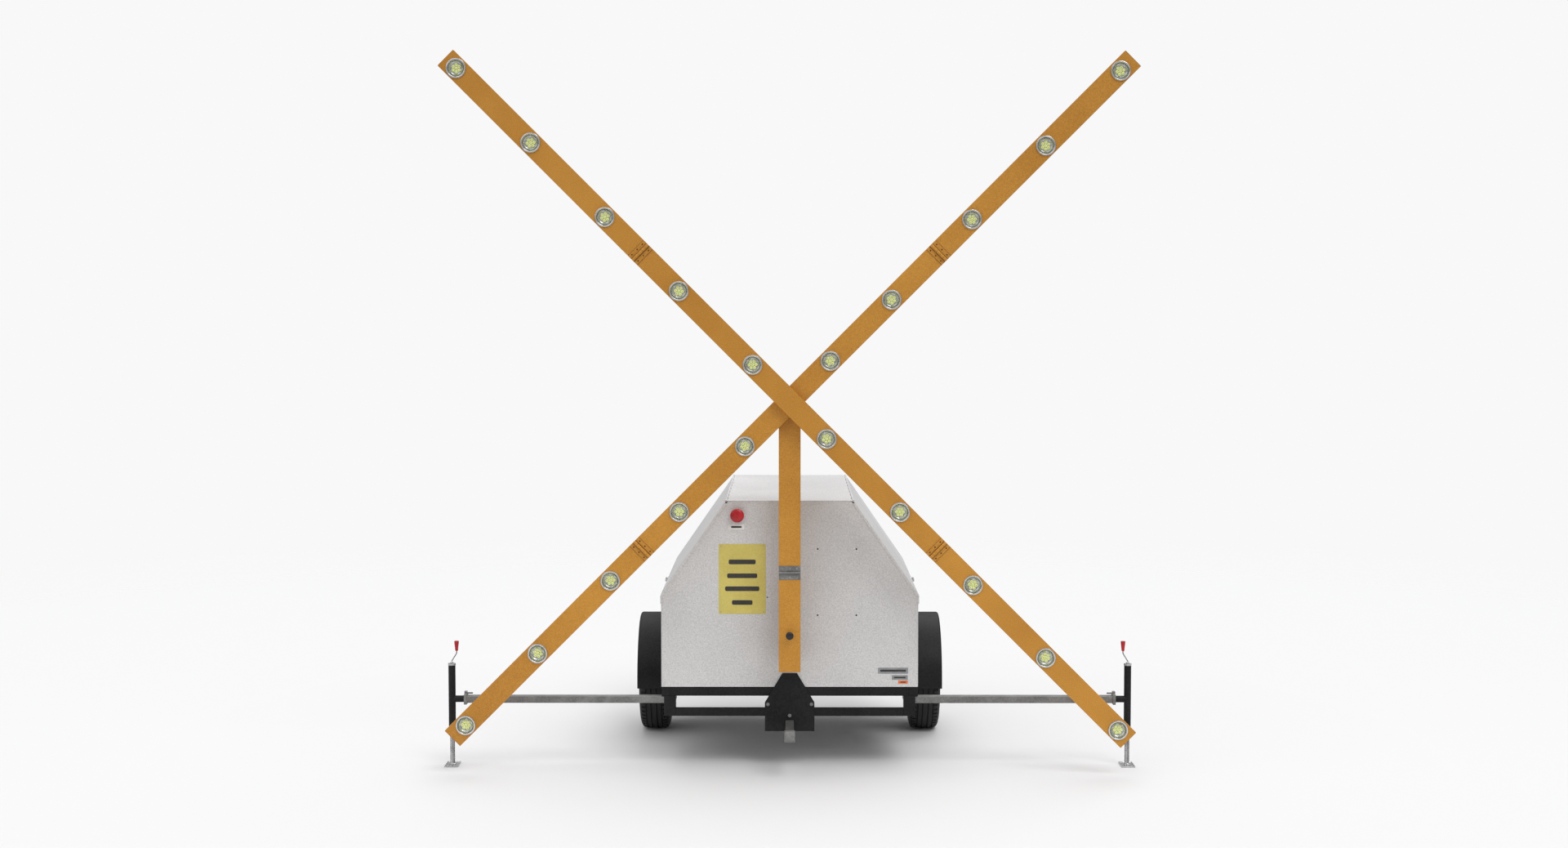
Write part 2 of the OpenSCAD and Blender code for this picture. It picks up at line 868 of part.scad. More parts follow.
// A trailing arm: pivot stub in the axle beam at one end, stub axle at the other
module suspension_arm(side) {
    plate = [beam_half, beam_half + arm_plate];
    reach = [axle_y - pivot_y, axle_z - pivot_z];
    color("dimgray") sided(side) {
        // bosses round the pivot and the stub axle
        rod_x(32, plate, pivot_y, pivot_z);
        rod_x(30, plate, axle_y, axle_z);
        translate([0, pivot_y, pivot_z]) rotate([atan2(reach[1], reach[0]), 0, 0])
            slab(plate, [0, norm(reach)], [-26, 26]);
        rod_x(pivot_r, [beam_half - 120, beam_half], pivot_y, pivot_z);
        rod_x(spindle_r, [plate[1], spindle_end], axle_y, axle_z);
    }
}

// Section of a tyre: radius along X, axle along Y
module tyre_section() {
    half = tyre_width / 2;
    round_r = 34;
    outer = tyre_d / 2;
    bead = 80;
    difference() {
        union() {
            for (s = [-1, 1]) translate([outer - round_r, s * (half - round_r)])
                circle(r = round_r);
            translate([outer - 60, -half + round_r])
                square([60, tyre_width - 2 * round_r]);
            translate([rim_r, -bead]) square([outer - round_r - rim_r, 2 * bead]);
            translate([rim_r + 60, -half]) square([outer - round_r - rim_r - 60, tyre_width]);
            for (s = [-1, 1]) translate([rim_r + 60, s * (half - 30)]) circle(r = 30);
        }
        translate([rim_r - 1, -60]) square([61, 120]);
    }
}

module on_axle(side) {
    sided(side) translate([wheel_x, axle_y, axle_z]) rotate([0, 90, 0]) children();
}

module tyre(side) {
    color("black") on_axle(side) rotate_extrude() tyre_section();
}

// Pressed rim with a dished disc, a hub on the stub axle and five wheel nuts
module rim(side) {
    nut_circle = 57;
    color("white") on_axle(side) {
        difference() {
            // the section runs out along the disc's back, round the channel and its two
            // flanges, and back along the disc's face to the hub cap
            rotate_extrude() polygon([
                [0, -20], [60, -20], [60, 20], [110, 34], [150, 10], [rim_r - 16, 18],
                [rim_r - 16, -70], [rim_r - 6, -84], [rim_r + 12, -84], [rim_r + 12, -80],
                [rim_r, -80], [rim_r, 80], [rim_r + 12, 80], [rim_r + 12, 84],
                [rim_r - 6, 84], [rim_r - 10, 30], [152, 22], [112, 46], [58, 34],
                [42, 34], [38, 62], [0, 66]
            ]);
            translate([0, 0, -21]) cylinder(r = spindle_r + fit, h = 21);
        }
        for (i = [0 : 4]) rotate([0, 0, i * 72]) translate([nut_circle, 0, 34])
            cylinder(r = 11, h = 16, $fn = 6);
    }
}

// A half-round guard over the wheel, with short skirts and a rolled outer lip
module fender() {
    thick = 4;
    lip_r = 4;
    skirt = 27;
    x = [side_x, side_x + 202];
    color("black") {
        intersection() {
            difference() {
                rod_x(fender_r, x, axle_y, axle_z);
                rod_x(fender_r - thick, [x[0] - skin, x[1] + skin], axle_y, axle_z);
            }
            slab(x, [axle_y - fender_r, axle_y + fender_r], [axle_z, axle_z + fender_r]);
        }
        for (y = [axle_y - fender_r, axle_y + fender_r - thick])
            slab(x, [y, y + thick], [axle_z - skirt, axle_z]);
        translate([x[1] - lip_r, axle_y, axle_z]) rotate([90, 0, 90])
            rotate_extrude(angle = 180) translate([fender_r - thick / 2, 0])
                circle(r = lip_r);
    }
}

module fenders() { both_sides() fender(); }
module suspension_arm_left() { suspension_arm(LEFT); }
module suspension_arm_right() { suspension_arm(RIGHT); }
module tyre_left() { tyre(LEFT); }
module tyre_right() { tyre(RIGHT); }
module rim_left() { rim(LEFT); }
module rim_right() { rim(RIGHT); }

// ---- outriggers and jacks ----------------------------------------------------------------

// A square tube that telescopes into its post, with an end plate, a swivel pin for the jack
// and a spring pin that locks the swivel
module outrigger(side) {
    end = outrigger_end + end_plate;
    z = outrigger_height;
    color("silver") sided(side) {
        tube_x([post_inner, outrigger_end],
               [jack_y - outrigger_depth / 2, jack_y + outrigger_depth / 2],
               [z - outrigger_tall / 2, z + outrigger_tall / 2], 3);
        slab([outrigger_end, end], [cabinet_front, cabinet_front + post_depth],
             [z - 29, z + 32]);
        slab([outrigger_end, end], [jack_y - 13, jack_y + 13], [z + 32, z + 47]);
        rod_x(5, [outrigger_end - 33, outrigger_end], jack_y, z + 35);
        rod_x(swivel_pin_r, [end, end + 40], jack_y, z);
    }
}

// The jack's outer tube: welded swivel stub, bored for the leg, with a cap on top
module jack_tube(side) {
    stub = outrigger_end + end_plate + 0.5;
    color("black") sided(side) difference() {
        union() {
            rod_z(jack_r, jack_x, jack_y, [jack_bottom, jack_top]);
            rod_z(jack_r + 2, jack_x, jack_y, [jack_top, jack_top + 11]);
            rod_x(20, [stub, jack_x], jack_y, outrigger_height);
        }
        rod_z(leg_r + 2 * fit, jack_x, jack_y, [jack_bottom - skin, jack_top - 8]);
        rod_x(swivel_pin_r + fit, [stub - skin, stub + 41], jack_y, outrigger_height);
        rod_z(screw_r + fit, jack_x, jack_y, [jack_top - 9, jack_top + 12]);
    }
}

// The sliding leg, closed by the nut at its top, with the foot plate welded on
module jack_leg(side) {
    color("silver") sided(side) {
        difference() {
            rod_z(leg_r, jack_x, jack_y, [foot_thick, 430]);
            rod_z(leg_r - 3, jack_x, jack_y, [20, 410]);
        }
        slab([jack_x - 40, jack_x + 40], [jack_y - 70, jack_y + 70], [0, foot_thick]);
    }
}

// Bent wire crank on the screw's head
module jack_crank(side) {
    low_bend = [jack_x, jack_y, jack_top + 24];
    high_bend = [jack_x - crank_in, jack_y + crank_back, jack_top + 64];
    bend_r = wire_r + 0.7;
    color("silver") sided(side) {
        rod_z(screw_r, jack_x, jack_y, [jack_top - 8, jack_top + 16]);
        rod_z(wire_r, jack_x, jack_y, [jack_top + 12, low_bend[2]]);
        translate(low_bend) sphere(r = bend_r);
        bar(low_bend, high_bend, wire_r);
        translate(high_bend) sphere(r = bend_r);
        rod_z(wire_r, high_bend[0], high_bend[1], [high_bend[2], jack_top + 132]);
    }
}

// Tapered grip that turns freely on the wire
module jack_grip(side) {
    low = jack_top + 78;
    color("crimson") sided(side)
        translate([jack_x - crank_in, jack_y + crank_back, low]) difference() {
            rotate_extrude() polygon([
                [0, 0], [8, 0], [8.5, 1], [14, 54], [13.5, 57], [11, 59], [0, 59.5]
            ]);
            translate([0, 0, -skin]) cylinder(r = wire_r + fit, h = 58);
        }
}

module outrigger_left() { outrigger(LEFT); }
module outrigger_right() { outrigger(RIGHT); }
module jack_tube_left() { jack_tube(LEFT); }
module jack_tube_right() { jack_tube(RIGHT); }
module jack_leg_left() { jack_leg(LEFT); }
module jack_leg_right() { jack_leg(RIGHT); }
module jack_crank_left() { jack_crank(LEFT); }
module jack_crank_right() { jack_crank(RIGHT); }
module jack_grip_left() { jack_grip(LEFT); }
module jack_grip_right() { jack_grip(RIGHT); }

chassis_frame();
drawbar_sleeve();
front_plate();
plate_bolts();
fork_pockets();
axle_beam();
fenders();
cabinet_floor();
front_panel();
rear_panel();
side_panels();
roof_panel();
lid_hinge_pins();
engine();
alternator();
fuel_tank();
batteries();
control_box();
mast_brackets();
lower_mast();
mast_lower_leaf();
stop_collar();
sign_plate();
stop_button();
mast_knob();
drawbar();
lid_left();
lid_right();
lid_latch_left();
lid_latch_right();
suspension_arm_left();
suspension_arm_right();
tyre_left();
tyre_right();
rim_left();
rim_right();
outrigger_left();
outrigger_right();
jack_tube_left();
jack_tube_right();
jack_leg_left();
jack_leg_right();
jack_crank_left();
jack_crank_right();
jack_grip_left();
jack_grip_right();
upper_mast();
mast_upper_leaf();
arm_front_inner();
arm_back_inner();
arm_fold_hinges();
lamps_inner();
arm_upper_left();
arm_upper_right();
arm_lower_left();
arm_lower_right();
lamps_upper_left();
lamps_upper_right();
lamps_lower_left();
lamps_lower_right();
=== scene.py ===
# %% [markdown]
# # A lighted X on a generator trailer
# This marker tells pilots that a runway is closed. A mast on a small generator trailer carries
# a large X of two crossed box tubes with twenty lamps. The tubes fold, the mast tips, and four
# long outriggers and jacks keep the trailer from blowing over. The working model already holds
# every part at its real size. This script gives each part the look of the real one, and never
# moves a working part.

# %% Load the working model
import json
import math

import bmesh
import bpy
from mathutils import Matrix, Vector

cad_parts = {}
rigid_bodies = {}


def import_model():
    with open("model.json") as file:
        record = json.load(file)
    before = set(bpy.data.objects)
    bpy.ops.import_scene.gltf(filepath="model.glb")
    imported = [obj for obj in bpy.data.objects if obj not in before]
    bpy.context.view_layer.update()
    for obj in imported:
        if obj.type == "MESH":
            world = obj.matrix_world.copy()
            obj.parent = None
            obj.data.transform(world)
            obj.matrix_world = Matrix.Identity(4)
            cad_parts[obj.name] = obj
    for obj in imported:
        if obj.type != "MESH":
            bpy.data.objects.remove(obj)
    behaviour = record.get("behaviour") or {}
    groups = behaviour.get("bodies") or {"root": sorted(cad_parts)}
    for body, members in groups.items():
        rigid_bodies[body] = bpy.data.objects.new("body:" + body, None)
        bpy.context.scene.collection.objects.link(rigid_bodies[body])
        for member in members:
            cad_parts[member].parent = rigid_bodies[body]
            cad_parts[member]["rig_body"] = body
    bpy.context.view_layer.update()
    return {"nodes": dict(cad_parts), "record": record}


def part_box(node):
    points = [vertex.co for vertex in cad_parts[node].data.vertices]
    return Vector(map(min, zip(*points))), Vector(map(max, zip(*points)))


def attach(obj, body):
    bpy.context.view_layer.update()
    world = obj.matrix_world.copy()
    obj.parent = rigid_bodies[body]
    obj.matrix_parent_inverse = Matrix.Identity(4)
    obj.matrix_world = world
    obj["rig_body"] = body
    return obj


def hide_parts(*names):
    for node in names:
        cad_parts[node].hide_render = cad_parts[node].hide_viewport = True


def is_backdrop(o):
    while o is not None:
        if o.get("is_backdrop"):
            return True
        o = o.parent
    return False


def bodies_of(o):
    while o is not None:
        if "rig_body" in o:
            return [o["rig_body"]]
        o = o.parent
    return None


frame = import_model()
body_of = {node: body for body, nodes in frame["record"]["behaviour"]["bodies"].items()
           for node in nodes}

# %% [markdown]
# ## The view
# The trailer is seen from the drawbar end, from a little above the height of a person, with a
# normal lens and hardly any tilt. A camera object could be aimed with a constraint, but a place
# and two small angles say the same thing in three numbers and leave nothing live in the file.

# %% Camera
LENS = 50.0
EYE = (0.0, -13.563, 2.775)
LOOKING_DOWN = math.radians(3.283)
LOOKING_LEFT = math.radians(0.15)
bpy.ops.object.camera_add(location=EYE, rotation=(math.pi / 2 - LOOKING_DOWN, 0, LOOKING_LEFT))
camera = bpy.context.object
camera.data.lens = LENS
camera.data.sensor_width = 36.0
bpy.context.scene.camera = camera

# %% [markdown]
# ## The studio
# A pale floor that melts into a pale background shows the shape and nothing else. A curved
# backdrop would do it, but then its bend catches light. Here the floor simply turns transparent
# some metres away, so no horizon shows. A bright dome with a darker belt gives polished metal
# something to mirror. Three distant lamps with a wide disc light every part of the
# floor alike, with soft shadows, while a nearby softbox would leave a bright patch.

# %% A helper that adds shader nodes
def node(tree, kind, settings=None, **sockets):
    """Adds a node. Each socket gets a value, or a link if the value is another node's output."""
    made = tree.nodes.new(kind)
    for setting, value in (settings or {}).items():
        setattr(made, setting, value)
    for name, value in sockets.items():
        socket = made.inputs[name.replace("_", " ")]
        if isinstance(value, bpy.types.NodeSocket):
            tree.links.new(value, socket)
        else:
            socket.default_value = value
    return made


def tone(red, green, blue):
    """A colour from the 0 to 255 scale of a paint chart, as the light values a shader needs."""
    def light(v):
        v /= 255
        return v / 12.92 if v <= 0.04045 else ((v + 0.055) / 1.055) ** 2.4
    return light(red), light(green), light(blue), 1.0


def ramp(tree, factor, stops):
    """A colour ramp with stops of (position, colour)."""
    made = node(tree, "ShaderNodeValToRGB", Fac=factor)
    while len(made.color_ramp.elements) < len(stops):
        made.color_ramp.elements.new(0.5)
    for element, (position, colour) in zip(made.color_ramp.elements, stops):
        element.position = position
        element.color = colour
    return made.outputs["Color"]


# %% Sky dome
BACKGROUND = tone(248, 248, 248)
world = bpy.data.worlds.new("studio")
bpy.context.scene.world = world
world.use_nodes = True
sky = world.node_tree
sky.nodes.clear()
height = node(sky, "ShaderNodeSeparateXYZ",
              Vector=node(sky, "ShaderNodeTexCoord").outputs["Generated"]).outputs["Z"]
height = node(sky, "ShaderNodeMapRange", Value=height, From_Min=-1.0, From_Max=1.0)
dome = ramp(sky, height.outputs["Result"], [
    (0.0, (0.55, 0.55, 0.55, 1)), (0.49, (0.50, 0.50, 0.51, 1)), (0.53, (0.22, 0.22, 0.23, 1)),
    (0.62, (0.50, 0.50, 0.51, 1)), (1.0, (0.75, 0.75, 0.76, 1))])
seen = node(sky, "ShaderNodeLightPath").outputs["Is Camera Ray"]
lit = node(sky, "ShaderNodeBackground", Color=dome, Strength=1.0).outputs["Background"]
shown = node(sky, "ShaderNodeBackground", Color=BACKGROUND).outputs["Background"]
both = node(sky, "ShaderNodeMixShader", Fac=seen)
sky.links.new(lit, both.inputs[1])
sky.links.new(shown, both.inputs[2])
sky.links.new(both.outputs[0], node(sky, "ShaderNodeOutputWorld").inputs["Surface"])

# %% Three wide suns
def sun(name, turn, height, spread, strength):
    """A distant lamp, turned from the front towards the right, at a height over the horizon."""
    bpy.ops.object.light_add(type="SUN", rotation=(math.radians(90 - height), 0,
                                                    math.radians(turn)))
    light = bpy.context.object
    light.name = name
    light.data.energy = strength
    light.data.angle = math.radians(spread)


sun("key_sun", 32, 48, 30, 1.0)
sun("fill_sun", -50, 35, 60, 0.55)
sun("top_sun", 160, 66, 60, 1.15)
bpy.context.scene.view_settings.view_transform = "Standard"

# %% Floor
FADE_FROM, FADE_TO = 4.0, 12.0
bpy.ops.mesh.primitive_circle_add(vertices=96, radius=FADE_TO, fill_type="NGON")
floor = bpy.context.object
floor.name = "studio_floor"
finish = bpy.data.materials.new("studio_floor")
finish.use_nodes = True
tree = finish.node_tree
shader = tree.nodes["Principled BSDF"]
shader.inputs["Base Color"].default_value = (0.745, 0.745, 0.745, 1)
shader.inputs["Roughness"].default_value = 0.7
shader.inputs["Specular IOR Level"].default_value = 0.1
away = node(tree, "ShaderNodeVectorMath", {"operation": "LENGTH"},
            Vector=node(tree, "ShaderNodeTexCoord").outputs["Object"]).outputs["Value"]
solid = node(tree, "ShaderNodeMapRange", Value=away, From_Min=FADE_FROM, From_Max=FADE_TO,
             To_Min=1.0, To_Max=0.0)
tree.links.new(solid.outputs["Result"], shader.inputs["Alpha"])
floor.data.materials.append(finish)
floor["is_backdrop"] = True
print("floor fades out between", FADE_FROM, "and", FADE_TO, "m")

# %% [markdown]
# ## Finishes
# Sprayed paint, zinc, rubber and moulded plastic differ in colour, but they are all uneven in
# the same two ways: soft patches a hand wide, where the coat is thicker or dirtier, and specks
# of a few millimetres, the grain of the coat. One recipe makes both from noise and mixes them
# by a share that each finish chooses. The patches also vary the gloss, and the specks raise the
# surface. Image textures would show the same, but they would have to be unwrapped piece by
# piece, while noise in object space simply fills the piece.

# %% The common recipe
def coat(name, dark, light, patch=2.0, speck=140.0, grain=0.5, rough=(0.4, 0.55), bump=0.2,
         metal=0.0, stretch=(1.0, 1.0, 1.0), thick=0.0008, spread=(0.36, 0.64)):
    """A finish between a dark and a light colour. patch and speck are the number of features
    in a metre, grain is the specks' share in the colour, and stretch squeezes the pattern."""
    made = bpy.data.materials.new(name + "_finish")
    made.use_nodes = True
    tree = made.node_tree
    shader = tree.nodes["Principled BSDF"]
    place = node(tree, "ShaderNodeTexCoord").outputs["Object"]
    place = node(tree, "ShaderNodeMapping", Vector=place, Scale=stretch).outputs["Vector"]
    patches = node(tree, "ShaderNodeTexNoise", Vector=place, Scale=patch, Detail=5.0,
                   Roughness=0.6).outputs["Fac"]
    specks = node(tree, "ShaderNodeTexNoise", Vector=place, Scale=speck, Detail=3.0,
                  Roughness=0.7).outputs["Fac"]
    both = node(tree, "ShaderNodeMix", Factor=grain, A=patches, B=specks).outputs["Result"]
    colour = ramp(tree, both, [(spread[0], dark), (spread[1], light)])
    gloss = node(tree, "ShaderNodeMapRange", Value=patches, From_Min=0.3, From_Max=0.7,
                 To_Min=rough[0], To_Max=rough[1]).outputs["Result"]
    relief = node(tree, "ShaderNodeBump", Strength=bump, Distance=thick, Height=specks)
    tree.links.new(colour, shader.inputs["Base Color"])
    tree.links.new(gloss, shader.inputs["Roughness"])
    tree.links.new(relief.outputs["Normal"], shader.inputs["Normal"])
    shader.inputs["Metallic"].default_value = metal
    return made


# %% Paints
orange_paint = coat("orange_paint", tone(170, 112, 24), tone(206, 146, 50), patch=1.6,
                    speck=170.0, grain=0.66, rough=(0.42, 0.58), bump=0.25)
cabinet_paint = coat("cabinet_paint", tone(184, 183, 182), tone(218, 217, 216), patch=1.3,
                     speck=120.0, grain=0.72, rough=(0.45, 0.6), bump=0.25)
black_paint = coat("black_paint", tone(12, 12, 13), tone(37, 37, 38), patch=4.0, speck=90.0,
                   grain=0.5, rough=(0.42, 0.62), bump=0.2)
black_paint.node_tree.nodes["Principled BSDF"].inputs["Specular IOR Level"].default_value = 0.2
rim_paint = coat("rim_paint", tone(196, 196, 194), tone(226, 226, 224), patch=6.0,
                 rough=(0.3, 0.45), bump=0.1)
engine_paint = coat("engine_paint", tone(58, 84, 78), tone(88, 116, 108), patch=8.0, speck=260.0,
                    rough=(0.4, 0.6), bump=0.5)
alternator_paint = coat("alternator_paint", tone(78, 108, 140), tone(112, 144, 176), patch=8.0,
                        speck=260.0, rough=(0.4, 0.6), bump=0.4)
control_paint = coat("control_paint", tone(120, 122, 124), tone(150, 152, 154), patch=6.0,
                     rough=(0.35, 0.5))
sign_yellow = coat("sign_yellow", tone(188, 172, 84), tone(212, 198, 108), patch=5.0,
                   grain=0.45, rough=(0.5, 0.65), bump=0.1)

# %% Metals
galvanised = coat("galvanised", tone(96, 96, 95), tone(142, 142, 140), patch=16.0,
                  speck=120.0, grain=0.45, rough=(0.34, 0.6), bump=0.15, metal=0.35)
bright_steel = coat("bright_steel", tone(168, 168, 168), tone(212, 212, 212), patch=30.0,
                    speck=300.0, rough=(0.16, 0.34), bump=0.08, metal=1.0)
chrome = coat("chrome", tone(206, 207, 208), tone(232, 232, 232), patch=12.0,
              rough=(0.05, 0.14), bump=0.02, metal=1.0)
cast_iron = coat("cast_iron", tone(52, 51, 50), tone(86, 84, 82), patch=10.0, speck=240.0,
                 rough=(0.55, 0.75), bump=0.6, metal=0.4)
copper = coat("copper", tone(150, 92, 60), tone(196, 132, 92), patch=20.0, rough=(0.3, 0.45),
              metal=1.0)

# %% Plastics and rubber
tyre_rubber = coat("tyre_rubber", tone(20, 20, 20), tone(42, 42, 41), patch=6.0, speck=220.0,
                   rough=(0.68, 0.85), bump=0.35)
# Dark rubber for the valves and battery caps, also used as painted shade in the lamps' recess round
# the bowl.
rubber_and_painted_shade = coat("rubber_and_painted_shade", tone(18, 18, 19), tone(34, 34, 35), patch=14.0,
                   rough=(0.5, 0.7))
tank_plastic = coat("tank_plastic", tone(52, 53, 55), tone(80, 81, 83), patch=7.0, speck=420.0,
                    rough=(0.45, 0.6), bump=0.35)
battery_plastic = coat("battery_plastic", tone(16, 16, 18), tone(34, 34, 36), patch=9.0,
                       speck=420.0, rough=(0.4, 0.55), bump=0.3)
button_red = coat("button_red", tone(158, 18, 24), tone(196, 34, 40), patch=12.0, speck=320.0,
                  grain=0.3, rough=(0.22, 0.36), bump=0.08)
grip_red = coat("grip_red", tone(150, 12, 18), tone(188, 26, 32), patch=18.0, speck=420.0,
                grain=0.3, rough=(0.26, 0.42), bump=0.1)
knob_black = coat("knob_black", tone(14, 14, 15), tone(32, 32, 33), patch=16.0, speck=420.0,
                  rough=(0.25, 0.4), bump=0.12)
print(len(bpy.data.materials), "finishes mixed")

# %% [markdown]
# ## Working by hand
# Every new piece below starts as a primitive at its size and place, is shaped in edit mode by
# insets, extrusions and spins of faces that are picked by where they are, and is finished with
# modifiers that are applied at once. The helpers only shorten those steps. An operator acts on
# all that is selected, so each helper first selects its own piece and nothing else.

# %% Selecting
def select_only(*pieces):
    """Leaves only these pieces selected, in object mode, with the last one active."""
    if bpy.context.mode != "OBJECT":
        bpy.ops.object.mode_set(mode="OBJECT")
    bpy.ops.object.select_all(action="DESELECT")
    for piece in pieces:
        piece.select_set(True)
        bpy.context.view_layer.objects.active = piece


def pick_faces(piece, test):
    """Opens a piece in edit mode and selects the faces whose centre and normal pass the test."""
    select_only(piece)
    bpy.ops.object.mode_set(mode="EDIT")
    bpy.ops.mesh.select_mode(type="FACE")
    bpy.ops.mesh.select_all(action="DESELECT")
    mesh = bmesh.from_edit_mesh(piece.data)
    for face in mesh.faces:
        face.select_set(test(face.calc_center_median(), face.normal))
    bmesh.update_edit_mesh(piece.data)


# %% Starting shapes
def set_down():
    """Moves an object's place, turn and scale into its mesh."""
    bpy.ops.object.transform_apply(location=True, rotation=True, scale=True)
    return bpy.context.object


def block(corner, opposite):
    """A cuboid between two opposite corners."""
    corner, opposite = Vector(corner), Vector(opposite)
    select_only()
    bpy.ops.mesh.primitive_cube_add(size=1, location=(corner + opposite) / 2,
                                    scale=[abs(s) for s in opposite - corner])
    return set_down()


def rod(start, end, radius, sides=32, tip=None):
    """A cylinder from one point to another, or a cone if it has another radius at its tip."""
    start, end = Vector(start), Vector(end)
    select_only()
    bpy.ops.mesh.primitive_cone_add(
        vertices=sides, radius1=radius, radius2=radius if tip is None else tip,
        depth=(end - start).length, location=(start + end) / 2,
        rotation=(end - start).to_track_quat("Z", "Y").to_euler())
    return set_down()


# %% Shaping
def inset_steps(piece, test, steps):
    """Insets the picked faces again and again. Each step is (how far in, how far out)."""
    pick_faces(piece, test)
    for inwards, outwards in steps:
        bpy.ops.mesh.inset(thickness=inwards, depth=outwards, use_even_offset=True)
    select_only(piece)


def lathe(points, centre, axis, steps=48, sweep=360.0):
    """Draws a line by extruding one vertex from point to point, and spins it round an axis."""
    select_only()
    bpy.ops.mesh.primitive_plane_add(size=0.01, location=points[0])
    piece = set_down()
    bpy.ops.object.mode_set(mode="EDIT")
    bpy.ops.mesh.select_mode(type="VERT")
    bpy.ops.mesh.merge(type="CENTER")
    for a, b in zip(points, points[1:]):
        bpy.ops.mesh.extrude_vertices_move(
            TRANSFORM_OT_translate={"value": Vector(b) - Vector(a)})
    bpy.ops.mesh.select_all(action="SELECT")
    bpy.ops.mesh.spin(steps=steps, angle=math.radians(sweep), center=centre, axis=axis)
    bpy.ops.mesh.select_all(action="SELECT")
    bpy.ops.mesh.remove_doubles(threshold=0.00002)
    bpy.ops.mesh.normals_make_consistent(inside=False)
    select_only(piece)
    return piece


def tube(points, radius, sides=10):
    """A round tube along a smooth path, drawn as a curve and made a mesh."""
    select_only()
    bpy.ops.curve.primitive_nurbs_path_add(location=(0, 0, 0))
    path = bpy.context.object
    path.data.splines.clear()
    spline = path.data.splines.new("NURBS")
    spline.points.add(len(points) - 1)
    for point, place in zip(spline.points, points):
        point.co = (*place, 1)
    spline.order_u = 3
    spline.use_endpoint_u = True
    spline.resolution_u = 6
    path.data.bevel_depth = radius
    path.data.bevel_resolution = max(1, sides // 4)
    path.data.use_fill_caps = True
    bpy.ops.object.convert(target="MESH")
    piece = bpy.context.object
    bpy.ops.object.mode_set(mode="EDIT")
    bpy.ops.mesh.select_all(action="SELECT")
    bpy.ops.mesh.remove_doubles(threshold=0.00002)
    bpy.ops.mesh.normals_make_consistent(inside=False)
    select_only(piece)
    bpy.ops.object.shade_smooth_by_angle(angle=math.radians(50))
    return piece


# %% Finishing
def soften(piece, width, segments=2, angle=35.0):
    """Breaks the sharp edges with a Bevel modifier, which also keeps the flats looking flat."""
    select_only(piece)
    bpy.ops.object.shade_smooth_by_angle(angle=math.radians(angle))
    bevel = piece.modifiers.new("broken_edges", "BEVEL")
    bevel.width = width
    bevel.segments = segments
    bevel.limit_method = "ANGLE"
    bevel.angle_limit = math.radians(angle)
    bevel.use_clamp_overlap = False
    bevel.harden_normals = True
    bpy.ops.object.modifier_apply(modifier=bevel.name)
    return piece


def painted(piece, finish):
    """Gives a whole piece one finish."""
    piece.data.materials.clear()
    piece.data.materials.append(finish)
    return piece


def join(*pieces):
    """Joins pieces into the last one. Each keeps its own finish."""
    select_only(*pieces)
    bpy.ops.object.join()
    return bpy.context.object


def turned(piece, degrees, place=(0, 0, 0)):
    """Turns a piece about the Y axis through the origin, then carries it to its place."""
    select_only(piece)
    piece.rotation_euler = (0, math.radians(degrees), 0)
    piece.location = place
    return set_down()


def copied(piece, by=(0, 0, 0)):
    """A copy with its own mesh, moved by a distance."""
    twin = piece.copy()
    twin.data = piece.data.copy()
    bpy.context.scene.collection.objects.link(twin)
    select_only(twin)
    twin.location = by
    return set_down()


def settle(piece, name, body, slot, *stands_for):
    """Names a finished piece and hands it to the body that it moves with."""
    piece.name = name
    piece.data.name = name
    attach(piece, body)
    if stands_for:
        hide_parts(*stands_for)
    return piece


# %% [markdown]
# ## Parts that only need their edges broken
# Frame tubes, panels and brackets already have the right shape, but their corners are as sharp
# as a drawing's, and nothing folded or sawn is. A working part's own mesh may not change, so a
# copy is merged at its seams, its flat faces are joined up, and a Bevel modifier rounds its
# sharp edges. The copy then stands for the original.

# %% A copy with broken edges
def merged_copy(name, whole_faces=True):
    """A copy of a working part with its seams merged and its flat faces in one piece."""
    piece = bpy.data.objects.new(name + "_copy", frame["nodes"][name].data.copy())
    bpy.context.scene.collection.objects.link(piece)
    select_only(piece)
    bpy.ops.object.mode_set(mode="EDIT")
    bpy.ops.mesh.select_all(action="SELECT")
    bpy.ops.mesh.remove_doubles(threshold=0.00001)
    if whole_faces:
        bpy.ops.mesh.dissolve_limited(angle_limit=math.radians(0.5))
    select_only(piece)
    bpy.ops.mesh.customdata_custom_splitnormals_clear()
    return piece


def broken_edges(name, finish, slot, width=0.0015, segments=2, whole_faces=True):
    """Replaces a working part by a copy with rounded edges and a real finish.

    A bevel can close the ring at the end of a tube if the ring is one whole face.
    """
    piece = painted(soften(merged_copy(name, whole_faces), width, segments), finish)
    return settle(piece, name + "_finished", body_of[name], slot, name)


def both_sides(name):
    """The names of a part on the left and on the right."""
    return name + "_left", name + "_right"


# %% Frame, panels and brackets
for name in ("chassis_frame", "drawbar_sleeve", "fork_pockets", "axle_beam"):
    broken_edges(name, black_paint, "black_paint", 0.002, whole_faces=False)
for name in ("front_panel", "side_panels", "rear_panel", "cabinet_floor", "roof_panel",
             *both_sides("lid")):
    broken_edges(name, cabinet_paint, "cabinet_paint", 0.0007)
for name in ("lower_mast", "upper_mast"):
    broken_edges(name, orange_paint, "orange_paint", 0.003, 3)
for name in both_sides("outrigger"):
    broken_edges(name, galvanised, "galvanised", 0.0025, 3)
for name in both_sides("suspension_arm"):
    broken_edges(name, black_paint, "black_paint", 0.002)
rail_low, rail_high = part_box("chassis_frame")
RAIL = 0.054
caps = []
for x in (rail_low.x, rail_high.x - RAIL):
    for y in (rail_low.y - 0.0003, rail_high.y - 0.0027):
        cap = block((x, y, rail_high.z - RAIL), (x + RAIL, y + 0.003, rail_high.z))
        inset_steps(cap, lambda c, n: abs(n.y) > 0.9, [(0.004, -0.0008)])
        caps.append(soften(cap, 0.0012))
settle(painted(join(*caps), black_paint), "rail_end_caps", "trailer", "black_paint")

